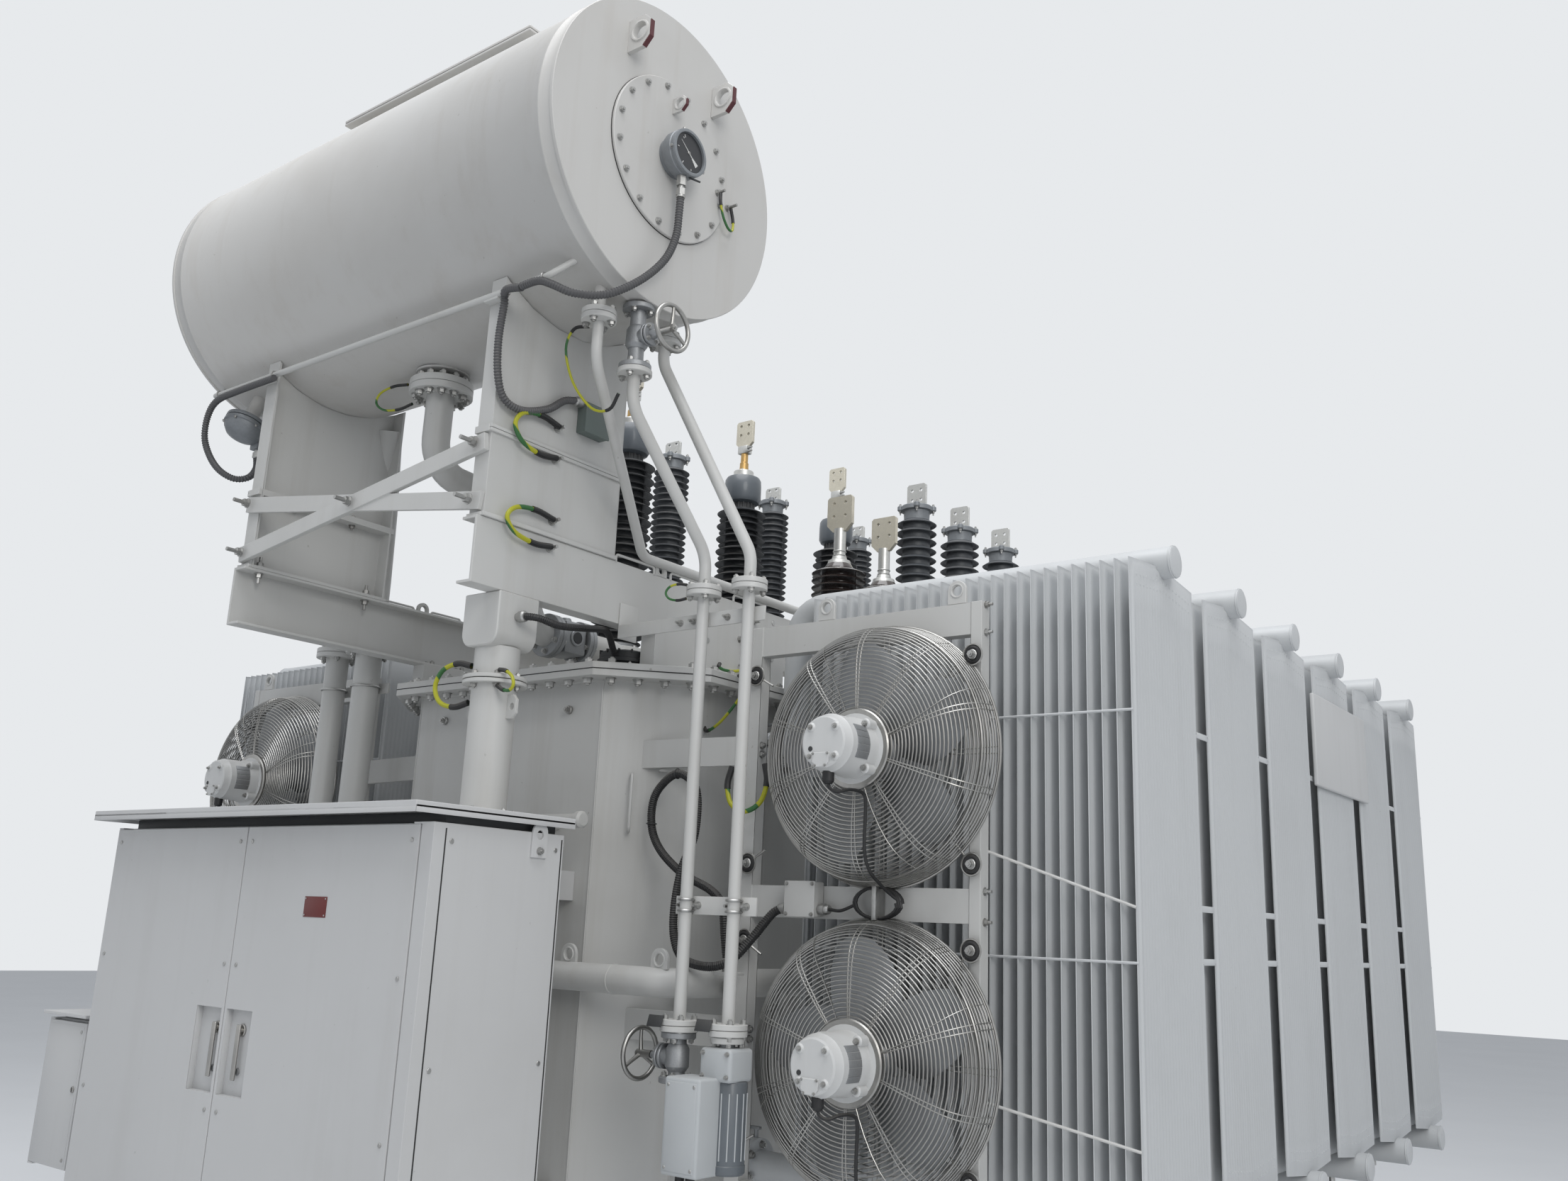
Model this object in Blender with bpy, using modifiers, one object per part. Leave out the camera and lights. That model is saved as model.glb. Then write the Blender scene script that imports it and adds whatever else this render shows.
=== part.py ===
# Oil-filled power transformer: tank, two radiator banks with fans, conservator, bushings and control cabinet.
# Metres, +Z up. The origin is on the ground below the middle of the tank, +X is the side with the pipes,
# and -Y is the cabinet end.
import math

import bmesh
import bpy
from mathutils import Matrix, Vector

# Clearances
TOUCH = 0.0003

# Base frame
SKID_HEIGHT = 0.30
SKID_WIDTH = 0.20
SKID_LENGTH = 4.20
SKID_SPACING = 1.00
SKID_WEB = 0.016
SKID_FLANGE = 0.022
CROSS_BEAM = 0.14
CROSS_BEAM_PLACES = (-1.60, 0.0, 1.60)

# Tank
TANK_WIDTH = 1.50
TANK_LENGTH = 4.28
TANK_CORNER = 0.24
TANK_HEIGHT = 2.20
TANK_FLANGE_REACH = 0.10
TANK_FLANGE = 0.025
TANK_FOOT_REACH = 0.03
TANK_FOOT = 0.03
COVER = 0.025

# Radiators
RADIATORS_PER_BANK = 6
RADIATOR_PITCH = 0.622
RADIATOR_WIDTH = 0.52
RADIATOR_HEIGHT = 1.90
RADIATOR_BOTTOM = 0.90
RADIATOR_PANELS = 10
PANEL_FOOT = 0.006
RADIATOR_INNER = 1.198
RADIATOR_OUTER = 2.383
PANEL_THICKNESS = 0.020
HEADER_RADIUS = 0.052
HEADER_SIDES = 6
HEADER_RISE = 0.034
HEADER_REACH = 0.047
NECK_OUT = 0.20
NECK_Z = 2.28
NECK_BEND = 0.09

# Fans and their frames
FRAME_FRONT = -1.995
FRAME_DEPTH = 0.05
FRAME_POST = 0.06
FRAME_POST_OUT = 0.31
FRAME_STRUT = 0.038
FRAME_STRUT_X = 1.935
FRAME_END_X = 1.973
FRAME_BEAM = 0.105
FRAME_BEAM_Z = (0.83, 1.74, 2.61)
FRAME_ARM = 0.10
FRAME_ARM_THICK = 0.012
FRAME_ARM_Z = (1.32, 2.24)
FAN_X = 1.635
FAN_Z = (1.285, 2.195)
GUARD_RADIUS = 0.412
GUARD_WIRE = 0.009
GUARD_SHOULDER_RADIUS = 0.390
GUARD_DEPTH = 0.165
GUARD_SHOULDER_DEPTH = 0.078
GUARD_SPOKES = 4
MOTOR_RADIUS = 0.080
MOTOR_LENGTH = 0.165
MOTOR_FLANGE_RADIUS = 0.125
MOTOR_FLANGE = 0.014
MOTOR_SIDES = 12
HUB_RADIUS = 0.075
HUB_LENGTH = 0.055
SHAFT_RADIUS = 0.016
FAN_BLADES = 5
BLADE_TIP = 0.365
BLADE_ROOT_CHORD = 0.05
BLADE_TIP_CHORD = 0.21
BLADE_THICK = 0.006
BLADE_ANGLE = 24.0
BLADE_BACK_GAP = 0.018

# Conservator
CONSERVATOR_RADIUS = 0.544
CONSERVATOR_LENGTH = 2.20
CONSERVATOR_Y = -2.60
CONSERVATOR_RISE = 1.6177
CONSERVATOR_SIDES = 28
HATCH_RADIUS = 0.285
HATCH_THICK = 0.012
HATCH_SIDES = 24
CURB_LENGTH = 1.02
CURB_WIDTH = 0.36
CURB_HEIGHT = 0.09
CURB_X = 0.02
CURB_PLATE = 0.02
CURB_PLATE_REACH = 0.04
GAUGE_RADIUS = 0.083
GAUGE_DEPTH = 0.068
GAUGE_STAND = 0.014
GAUGE_NECK_RADIUS = 0.072

# Legs, beams and braces under the conservator
BEAM_INSET = 0.065
BEAM_HEIGHT = 0.22
BEAM_FLANGE = 0.07
BEAM_WALL = 0.010
BEAM_FRONT = -2.93
BEAM_REAR = -1.10
PACKER_HEIGHT = 0.115
PACKER_FRONT = -2.07
PACKER_REAR = -1.30
LEG_FRONT = -2.905
LEG_REAR = -2.305
LEG_LOWER_HEIGHT = 0.285
LEG_WALL = 0.010
LEG_FLANGE = 0.07
LEG_JOINT = 0.024
LEG_JOINT_REACH = 0.012
BRACE_BAR = 0.06
BRACE_THICK = 0.010
BRACE_LOW_RISE = 0.0497
BRACE_HIGH_RISE = 0.2497

# Oil pipes between the conservator and the tank
MAIN_PIPE_RADIUS = 0.052
MAIN_FLANGE_RADIUS = 0.110
MAIN_FLANGE = 0.045
MAIN_STUB = 0.05
RELAY_Y = -1.95
RELAY_RISE = 0.1997
MAIN_RUN_RISE = 0.6997
MAIN_RUN_FALL = 0.03
MAIN_DROP_Y = -2.08
MAIN_END_Y = -1.50
RELAY_RADIUS = 0.085
RELAY_LENGTH = 0.16
DROP_RADIUS = 0.020
DROP_FLANGE_RADIUS = 0.055
DROP_FLANGE = 0.036
DROP_Y = -2.285
DROP_X = (1.090, 1.283)
DROP_TOP_RISE = 0.1767
DROP_LOW_Z = 1.335
OUTLET_X = (1.040, 0.925)
OUTLET_Y = (-2.635, -2.380)
OUTLET_MARGIN = 1.02
VALVE_TOP_DROP = 0.768
THIN_PIPE_X = 0.985
THIN_PIPE_Y = -2.760
THIN_PIPE_STRAIGHT = 0.15
THIN_PIPE_FLANGE_DROP = 0.06
THIN_PIPE_RISE = 1.0047
THIN_PIPE_TURN_OUT = 0.005
THIN_PIPE_TURN_Y = -2.170
THIN_PIPE_TURN_RISE = 0.3797
THIN_PIPE_FOOT_Y = -1.000

# Valves with handwheels
VALVE_BODY_RADIUS = 0.036
BONNET_RADIUS = 0.024
BONNET_LENGTH = 0.105
WHEEL_RADIUS = 0.085
WHEEL_RIM = 0.008
WHEEL_HUB_RADIUS = 0.014
WHEEL_HUB_LENGTH = 0.05
WHEEL_SPOKES = 3
LOWER_VALVE_LENGTH = 0.150

# Breather on the foot of the right-hand pipe
BREATHER_BOX = (0.135, 0.110, 0.270)
BREATHER_HEAD = (0.120, 0.110, 0.095)
BREATHER_POT_RADIUS = 0.055
BREATHER_POT_LENGTH = 0.260

# Control cabinet
CABINET_FRONT = -3.115
CABINET_REAR = -2.615
CABINET_OVERHANG = 0.115
CABINET_BOTTOM = 0.62
CABINET_TOP = 1.905
CABINET_WALL = 0.02
CABINET_POST = 0.055
DOOR_THICK = 0.030
DOOR_GAP = 0.006
DOOR_SPLIT_X = -0.053
HINGE_TAB = 0.030
HANDLE_POCKET_DEPTH = 0.022
HANDLE_POCKET_WIDTH = 0.150
HANDLE_POCKET_HEIGHT = 0.250
HANDLE_POCKET_Z = 1.220
ROOF_RISE = 0.032
ROOF_THICK = 0.020
ROOF_FRONT_REACH = 0.085
ROOF_SIDE_REACH = 0.020
ROOF_REAR_REACH = 0.025
ARM_X = 0.40
ARM_WIDTH = 0.08
ARM_Z = (0.70, 1.72)
ARM_HEIGHT = 0.10
SIDE_BOX_GAP = 0.135
SIDE_BOX_WIDTH = 0.270
SIDE_BOX_FRONT = -3.050
SIDE_BOX_DEPTH = 0.200
SIDE_BOX_Z = (0.740, 1.235)
SIDE_BOX_WALL = 0.012
SIDE_DOOR_THICK = 0.018
SIDE_ROOF_RISE = 0.012
SIDE_ROOF = 0.012
SIDE_ROOF_REACH = 0.020
SIDE_ARM_HEIGHT = 0.040
SIDE_ARM_DEPTH = 0.050
SIDE_ARM_Z = (0.800, 1.130)

# Cable duct from the right beam down to the cabinet
DUCT_INSET = 0.08
DUCT_Y = -2.725
DUCT_BOX = 0.170
DUCT_BOX_HEIGHT = 0.175
DUCT_RADIUS = 0.073
DUCT_FLANGE_RADIUS = 0.100
DUCT_FLANGE = 0.030
DUCT_FLANGE_DROP = 0.105

# Relief device and the pipe round the front of the tank
RELIEF_INSET = 0.250
RELIEF_Y = -2.03
RELIEF_RADIUS = 0.100
RELIEF_HEIGHT = 0.080
TANK_PIPE_RADIUS = 0.047
TANK_PIPE_Z = 1.47
TANK_PIPE_Y = -2.195
TANK_PIPE_START_X = -0.60
TANK_PIPE_OUT = 0.225
TANK_PIPE_END_Y = -1.20
TANK_PIPE_BEND = 0.10

# Bushings: x, the y of each, height of the terminal above the cover, shed and core radius
HV_INSET = 0.415
MID_INSET = 0.295
LV_INSET = 0.275
END_INSET = 0.265
HV_BUSHINGS = {
    "x": HV_INSET - TANK_WIDTH / 2, "y": (-1.235, -0.375, 0.485), "top": 1.71,
    "shed": 0.125, "core": 0.085, "sheds": 5, "cap": 0.22, "neck": 0.07,
}
MID_BUSHINGS = {
    "x": MID_INSET - TANK_WIDTH / 2, "y": (-0.800, 0.040, 0.880), "top": 1.48,
    "shed": 0.085, "core": 0.055, "sheds": 4, "cap": 0.10, "neck": 0.03,
}
LV_BUSHINGS = {
    "x": TANK_WIDTH / 2 - LV_INSET, "y": (-0.630, -0.250), "top": 1.085,
    "shed": 0.125, "core": 0.080, "sheds": 3, "cap": 0.16, "neck": 0.044,
}
END_BUSHINGS = {
    "x": TANK_WIDTH / 2 - END_INSET, "y": (0.030, 0.470, 0.930), "top": 1.34,
    "shed": 0.100, "core": 0.065, "sheds": 4, "cap": 0.09, "neck": 0.036,
}
BUSHING_FOOT = 0.03
BUSHING_FOOT_FLARE = 1.35
STAND_SIDES = 12
BUSHING_SIDES = 8
TURRET_RADIUS = 0.170
TURRET_HEIGHT = 0.30
ROW_BOX_WIDTH = 0.26
ROW_BOX_HEIGHT = 0.16
TERMINAL_WIDTH = 0.115
TERMINAL_HEIGHT = 0.150
TERMINAL_THICK = 0.014
TERMINAL_SINK = 0.01
BUSHING_SINK = 0.01

# Levels that follow from the sizes above
TANK_BOTTOM = SKID_HEIGHT
TANK_FLANGE_TOP = TANK_BOTTOM + TANK_HEIGHT + TANK_FLANGE
COVER_TOP = TANK_FLANGE_TOP + TOUCH + COVER
BEAM_BOTTOM = COVER_TOP + PACKER_HEIGHT
BEAM_TOP = BEAM_BOTTOM + BEAM_HEIGHT
RADIATOR_TOP = RADIATOR_BOTTOM + RADIATOR_HEIGHT
CONSERVATOR_END = CONSERVATOR_LENGTH / 2
CONSERVATOR_Z = COVER_TOP + CONSERVATOR_RISE
BRACE_LOW_Z = BEAM_TOP + BRACE_LOW_RISE
BRACE_HIGH_Z = BEAM_TOP + BRACE_HIGH_RISE
RELAY_Z = COVER_TOP + RELAY_RISE
MAIN_RUN_Z = COVER_TOP + MAIN_RUN_RISE
DROP_TOP_Z = COVER_TOP + DROP_TOP_RISE
VALVE_TOP_Z = CONSERVATOR_Z - VALVE_TOP_DROP
THIN_PIPE_Z = COVER_TOP + THIN_PIPE_RISE

# Places across that follow from the tank's width
BEAM_X = TANK_WIDTH / 2 - BEAM_INSET
FRAME_POST_X = TANK_WIDTH / 2 + FRAME_POST_OUT
DUCT_X = BEAM_X - DUCT_INSET
RELIEF_X = TANK_WIDTH / 2 - RELIEF_INSET
TANK_PIPE_TURN_X = TANK_WIDTH / 2 + TANK_PIPE_OUT
CABINET_RIGHT = TANK_WIDTH / 2 + CABINET_OVERHANG
CABINET_LEFT = -CABINET_RIGHT
SIDE_BOX_RIGHT = CABINET_LEFT - SIDE_BOX_GAP
SIDE_BOX_LEFT = SIDE_BOX_RIGHT - SIDE_BOX_WIDTH

PAINT = (0.72, 0.72, 0.70)


def clear_scene():
    for obj in list(bpy.data.objects):
        bpy.data.objects.remove(obj, do_unlink=True)


def new_material(name, colour, roughness, metallic):
    made = bpy.data.materials.new(name)
    made.use_nodes = True
    shader = made.node_tree.nodes["Principled BSDF"]
    shader.inputs["Base Color"].default_value = (*colour, 1.0)
    shader.inputs["Roughness"].default_value = roughness
    shader.inputs["Metallic"].default_value = metallic
    return made


def new_collection(name):
    made = bpy.data.collections.new(name)
    bpy.context.scene.collection.children.link(made)
    return made


clear_scene()
PARTS = new_collection("power_transformer")
ROOT = bpy.data.objects.new("transformer_root", None)
PARTS.objects.link(ROOT)
MATERIALS = {
    "white_paint": new_material("white_paint", PAINT, 0.42, 0.0),
    "radiator_paint": new_material("radiator_paint", (0.70, 0.72, 0.73), 0.40, 0.0),
    "stainless": new_material("stainless", (0.60, 0.60, 0.59), 0.30, 1.0),
    "cast_grey": new_material("cast_grey", (0.32, 0.33, 0.34), 0.55, 0.6),
    "dark_cap": new_material("dark_cap", (0.05, 0.055, 0.06), 0.55, 0.0),
    "shed_grey": new_material("shed_grey", (0.16, 0.17, 0.18), 0.50, 0.0),
    "shed_brown": new_material("shed_brown", (0.10, 0.055, 0.045), 0.28, 0.0),
    "fan_blade": new_material("fan_blade", (0.55, 0.56, 0.57), 0.45, 0.2),
    "box_grey": new_material("box_grey", (0.45, 0.47, 0.48), 0.50, 0.0),
    "gauge_grey": new_material("gauge_grey", (0.30, 0.31, 0.33), 0.45, 0.1),
}


def mesh_object(name, mesh):
    made = bpy.data.objects.new(name, mesh)
    PARTS.objects.link(made)
    return made


def from_bmesh(shape, name="shape"):
    mesh = bpy.data.meshes.new(name)
    shape.to_mesh(mesh)
    shape.free()
    return mesh_object(name, mesh)


def box(low, high):
    """A block between two corners."""
    shape = bmesh.new()
    bmesh.ops.create_cube(shape, size=1.0)
    low, high = Vector(low), Vector(high)
    size = high - low
    shape.transform(Matrix.Translation((low + high) / 2) @ Matrix.Diagonal((*size, 1.0)))
    return from_bmesh(shape)


def rod(start, end, radius, sides=12, end_radius=None):
    """A round bar, or a cone, between two points."""
    start, end = Vector(start), Vector(end)
    along = end - start
    shape = bmesh.new()
    bmesh.ops.create_cone(
        shape,
        cap_ends=True,
        segments=sides,
        radius1=radius,
        radius2=radius if end_radius is None else end_radius,
        depth=along.length,
    )
    turn = along.to_track_quat("Z", "Y").to_matrix().to_4x4()
    half_side = Matrix.Rotation(math.pi / sides, 4, "Z")
    shape.transform(Matrix.Translation((start + end) / 2) @ turn @ half_side)
    return from_bmesh(shape)


def baked(obj):
    """The object with its modifiers or its curve applied, and loose caps welded."""
    bpy.context.view_layer.update()
    graph = bpy.context.evaluated_depsgraph_get()
    mesh = bpy.data.meshes.new_from_object(obj.evaluated_get(graph))
    shape = bmesh.new()
    shape.from_mesh(mesh)
    bmesh.ops.remove_doubles(shape, verts=shape.verts, dist=1e-6)
    bmesh.ops.recalc_face_normals(shape, faces=shape.faces)
    shape.transform(obj.matrix_world)
    bpy.data.objects.remove(obj, do_unlink=True)
    return from_bmesh(shape)


PLANES = {
    "XY": Matrix.Identity(4),
    "YZ": Matrix(((0, 0, 1, 0), (1, 0, 0, 0), (0, 1, 0, 0), (0, 0, 0, 1))),
    "XZ": Matrix(((1, 0, 0, 0), (0, 0, -1, 0), (0, 1, 0, 0), (0, 0, 0, 1))),
}


def plate(outline, plane, low, high, holes=()):
    """A flat outline with its holes, in the plane named, between two places along that plane's normal."""
    data = bpy.data.curves.new("outline", "CURVE")
    data.dimensions = "2D"
    data.fill_mode = "BOTH"
    data.extrude = (high - low) / 2
    for loop in (outline, *holes):
        spline = data.splines.new("POLY")
        spline.points.add(len(loop) - 1)
        for point, (u, v) in zip(spline.points, loop):
            point.co = (u, v, 0, 1)
        spline.use_cyclic_u = True
    made = bpy.data.objects.new("outline", data)
    PARTS.objects.link(made)
    middle = (low + high) / 2 * (-1 if plane == "XZ" else 1)
    made.matrix_world = PLANES[plane] @ Matrix.Translation((0, 0, middle))
    return baked(made)


def circle(centre, radius, sides, start=0.0, sweep=2 * math.pi):
    """Points round a circle, or along a part of it with both ends."""
    whole = abs(sweep) >= 2 * math.pi - 1e-6
    steps = sides if whole else sides + 1
    return [
        (
            centre[0] + radius * math.cos(start + sweep * i / sides),
            centre[1] + radius * math.sin(start + sweep * i / sides),
        )
        for i in range(steps)
    ]


def rounded(points, radius, steps=4):
    """The path with each inner corner turned into an arc of this radius."""
    points = [Vector(p) for p in points]
    path = [points[0]]
    for before, corner, after in zip(points, points[1:], points[2:]):
        into = (corner - before).normalized()
        out = (after - corner).normalized()
        angle = into.angle(out)
        reach = radius * math.tan(angle / 2)
        centre = corner - into * reach + (out - into * into.dot(out)).normalized() * radius
        first = corner - into * reach - centre
        axis = into.cross(out).normalized()
        for i in range(steps + 1):
            path.append(centre + Matrix.Rotation(angle * i / steps, 3, axis) @ first)
    path.append(points[-1])
    return path


def pipe(path, radius, sides=8):
    """A round tube along a path, its flats up and down."""
    data = bpy.data.curves.new("pipe", "CURVE")
    data.dimensions = "3D"
    data.bevel_depth = radius / math.cos(math.pi / sides)
    data.bevel_resolution = sides // 2 - 2
    data.use_fill_caps = True
    spline = data.splines.new("POLY")
    spline.points.add(len(path) - 1)
    for point, place in zip(spline.points, path):
        point.co = (*place, 1)
        point.tilt = 0 if sides % 4 else math.pi / sides
    made = bpy.data.objects.new("pipe", data)
    PARTS.objects.link(made)
    return baked(made)


def turned(profile, place, sides, axis="Z"):
    """A turned solid: (radius, height) points from the top of its axis down its outer side to the bottom."""
    shape = bmesh.new()
    ring = [shape.verts.new((radius, 0, height)) for radius, height in profile]
    for a, b in zip(ring, ring[1:]):
        shape.edges.new((a, b))
    made = from_bmesh(shape)
    screw = made.modifiers.new("turn", "SCREW")
    screw.steps = sides
    screw.render_steps = sides
    screw.use_merge_vertices = True
    screw.merge_threshold = 0.0001
    made = baked(made)
    turns = {"Z": Matrix.Identity(4), "X": Matrix.Rotation(math.pi / 2, 4, "Y"), "-X": Matrix.Rotation(-math.pi / 2, 4, "Y"), "-Y": Matrix.Rotation(math.pi / 2, 4, "X")}
    made.data.transform(Matrix.Translation(place) @ turns[axis])
    return made


def torus(place, radius, minor, segments, sides, axis):
    """A ring of this radius about a line through place along axis."""
    bpy.ops.mesh.primitive_torus_add(
        major_radius=radius, minor_radius=minor, major_segments=segments, minor_segments=sides
    )
    made = bpy.context.object
    turn = Vector(axis).to_track_quat("Z", "Y").to_matrix().to_4x4()
    made.data.transform(Matrix.Translation(place) @ turn)
    for holder in list(made.users_collection):
        holder.objects.unlink(made)
    PARTS.objects.link(made)
    return made


def joined(pieces):
    """The pieces as one mesh, their walls still crossing."""
    shape = bmesh.new()
    for piece in pieces:
        mesh = piece.data
        mesh.transform(piece.matrix_world)
        shape.from_mesh(mesh)
        bpy.data.objects.remove(piece, do_unlink=True)
    return from_bmesh(shape)


def fused(pieces):
    """The pieces made one body by a Boolean union."""
    first, rest = pieces[0], pieces[1:]
    if not rest:
        return first
    other = joined(rest)
    union = first.modifiers.new("union", "BOOLEAN")
    union.operation = "UNION"
    union.object = other
    union.use_self = len(rest) > 1
    made = baked(first)
    bpy.data.objects.remove(other, do_unlink=True)
    return made


def cut(body, cutters):
    """The body less the cutters."""
    other = joined(cutters)
    difference = body.modifiers.new("cut", "BOOLEAN")
    difference.operation = "DIFFERENCE"
    difference.object = other
    difference.use_self = len(cutters) > 1
    made = baked(body)
    bpy.data.objects.remove(other, do_unlink=True)
    return made


def finish(obj, name, material, origin=(0, 0, 0), parent=None, smooth=0):
    """Names a piece, gives it its material and puts its origin at a point."""
    obj.name = name
    obj.data.name = name
    obj.data.materials.clear()
    obj.data.materials.append(MATERIALS[material])
    obj.data.transform(Matrix.Translation(-Vector(origin)))
    obj.location = origin
    obj.parent = parent or ROOT
    if smooth:
        obj.data.shade_smooth()
        obj.data.set_sharp_from_angle(angle=math.radians(smooth))
    return obj


def mirrored_x(obj):
    """A copy of a piece on the other side of the tank."""
    made = mesh_object("copy", obj.data.copy())
    made.data.transform(Matrix.Scale(-1, 4, (1, 0, 0)) @ Matrix.Translation(obj.location))
    made.data.flip_normals()
    return made


def empty(name, place):
    made = bpy.data.objects.new(name, None)
    made.location = place
    made.parent = ROOT
    PARTS.objects.link(made)
    return made


def octagon(width, length, corner):
    """A rectangle about the origin with its four corners cut at 45 degrees."""
    x, y = width / 2, length / 2
    return [
        (x - corner, -y), (x, -y + corner), (x, y - corner), (x - corner, y),
        (-x + corner, y), (-x, y - corner), (-x, -y + corner), (-x + corner, -y),
    ]


def base_frame():
    top, bottom = SKID_HEIGHT - TOUCH, 0.0
    half, web = SKID_WIDTH / 2, SKID_WEB / 2
    pieces = []
    for side in (-1, 1):
        x = side * SKID_SPACING / 2
        outline = [
            (x - half, bottom), (x + half, bottom), (x + half, bottom + SKID_FLANGE),
            (x + web, bottom + SKID_FLANGE), (x + web, top - SKID_FLANGE), (x + half, top - SKID_FLANGE),
            (x + half, top), (x - half, top), (x - half, top - SKID_FLANGE),
            (x - web, top - SKID_FLANGE), (x - web, bottom + SKID_FLANGE), (x - half, bottom + SKID_FLANGE),
        ]
        pieces.append(plate(outline, "XZ", -SKID_LENGTH / 2, SKID_LENGTH / 2))
    for y in CROSS_BEAM_PLACES:
        low = (-SKID_SPACING / 2, y - CROSS_BEAM / 2, bottom)
        high = (SKID_SPACING / 2, y + CROSS_BEAM / 2, SKID_HEIGHT - SKID_FLANGE * 2)
        pieces.append(box(low, high))
    finish(fused(pieces), "base_frame", "white_paint")


def tank():
    wall = octagon(TANK_WIDTH, TANK_LENGTH, TANK_CORNER)
    reach = 2 * TANK_FLANGE_REACH
    wide = octagon(TANK_WIDTH + reach, TANK_LENGTH + reach, TANK_CORNER + 0.59 * TANK_FLANGE_REACH)
    foot = octagon(TANK_WIDTH + 2 * TANK_FOOT_REACH, TANK_LENGTH + 2 * TANK_FOOT_REACH, TANK_CORNER)
    body = fused([
        plate(wall, "XY", TANK_BOTTOM, TANK_FLANGE_TOP - TANK_FLANGE / 2),
        plate(wide, "XY", TANK_FLANGE_TOP - TANK_FLANGE, TANK_FLANGE_TOP),
        plate(foot, "XY", TANK_BOTTOM, TANK_BOTTOM + TANK_FOOT),
    ])
    finish(body, "tank_body", "white_paint")
    finish(plate(wide, "XY", TANK_FLANGE_TOP + TOUCH, COVER_TOP), "tank_cover", "white_paint")


def radiator_shape(y):
    """One radiator on the +X side: its panels on an upper and a lower header that reach the tank wall."""
    wall = TANK_WIDTH / 2 + TOUCH
    low, high = y - RADIATOR_WIDTH / 2, y + RADIATOR_WIDTH / 2
    pitch = (RADIATOR_OUTER - RADIATOR_INNER - PANEL_THICKNESS) / (RADIATOR_PANELS - 1)
    panels = []
    for i in range(RADIATOR_PANELS):
        x = RADIATOR_INNER + i * pitch
        foot = PANEL_FOOT if i in (0, RADIATOR_PANELS - 1) else 0
        panels.append(box((x, low, RADIATOR_BOTTOM - foot), (x + PANEL_THICKNESS, high, RADIATOR_TOP)))
    outer = RADIATOR_OUTER + HEADER_REACH
    neck = wall + NECK_OUT
    upper_z = RADIATOR_TOP + HEADER_RISE
    lower_z = RADIATOR_BOTTOM - HEADER_RADIUS - TOUCH
    upper = rounded([(outer, y, upper_z), (neck, y, upper_z), (neck, y, NECK_Z), (wall, y, NECK_Z)], NECK_BEND, 1)
    lower = [Vector((outer, y, lower_z)), Vector((wall, y, lower_z))]
    return fused([pipe(upper, HEADER_RADIUS, HEADER_SIDES), pipe(lower, HEADER_RADIUS, HEADER_SIDES), *panels])


def radiators():
    for side in ("right", "left"):
        bank = empty(f"radiator_bank_{side}", (0, 0, 0))
        for i in range(RADIATORS_PER_BANK):
            y = (i - (RADIATORS_PER_BANK - 1) / 2) * RADIATOR_PITCH
            name = f"radiator_{side}_{i + 1}"
            if side == "right":
                piece = radiator_shape(y)
            else:
                piece = mirrored_x(bpy.data.objects[f"radiator_right_{i + 1}"])
            finish(piece, name, "radiator_paint", origin=(0, y, 0), parent=bank)


def fan_frame_shape():
    """Posts, cross beams and the arms that carry them from the tank, on the +X side."""
    front, back = FRAME_FRONT, FRAME_FRONT + FRAME_DEPTH
    bottom = FRAME_BEAM_Z[0] - FRAME_BEAM / 2
    top = FRAME_BEAM_Z[-1] + FRAME_BEAM / 2
    pieces = [
        box((FRAME_POST_X, front, bottom), (FRAME_POST_X + FRAME_POST, back, top)),
        box((FRAME_STRUT_X, front, bottom), (FRAME_STRUT_X + FRAME_STRUT, back, top)),
    ]
    for z in FRAME_BEAM_Z:
        pieces.append(
            box(
                (FRAME_POST_X + FRAME_POST / 2, front + 0.002, z - FRAME_BEAM / 2 + 0.002),
                (FRAME_END_X, back - 0.002, z + FRAME_BEAM / 2 - 0.002),
            )
        )
    wall_x = TANK_WIDTH / 2 - TANK_CORNER / 2
    wall_y = -TANK_LENGTH / 2 + TANK_CORNER / 2
    face = Vector((wall_x + TOUCH, wall_y - TOUCH))
    along = Vector((math.cos(math.pi / 4), math.sin(math.pi / 4)))
    for z in FRAME_ARM_Z:
        foot = face + along * FRAME_ARM_THICK
        outline = [
            tuple(face - along * FRAME_ARM_THICK),
            (FRAME_POST_X + FRAME_POST / 2, back - 0.03),
            (FRAME_POST_X + FRAME_POST / 2, back - 0.01),
            tuple(foot),
        ]
        pieces.append(plate(outline, "XY", z - FRAME_ARM / 2, z + FRAME_ARM / 2))
    return fused(pieces)


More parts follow.
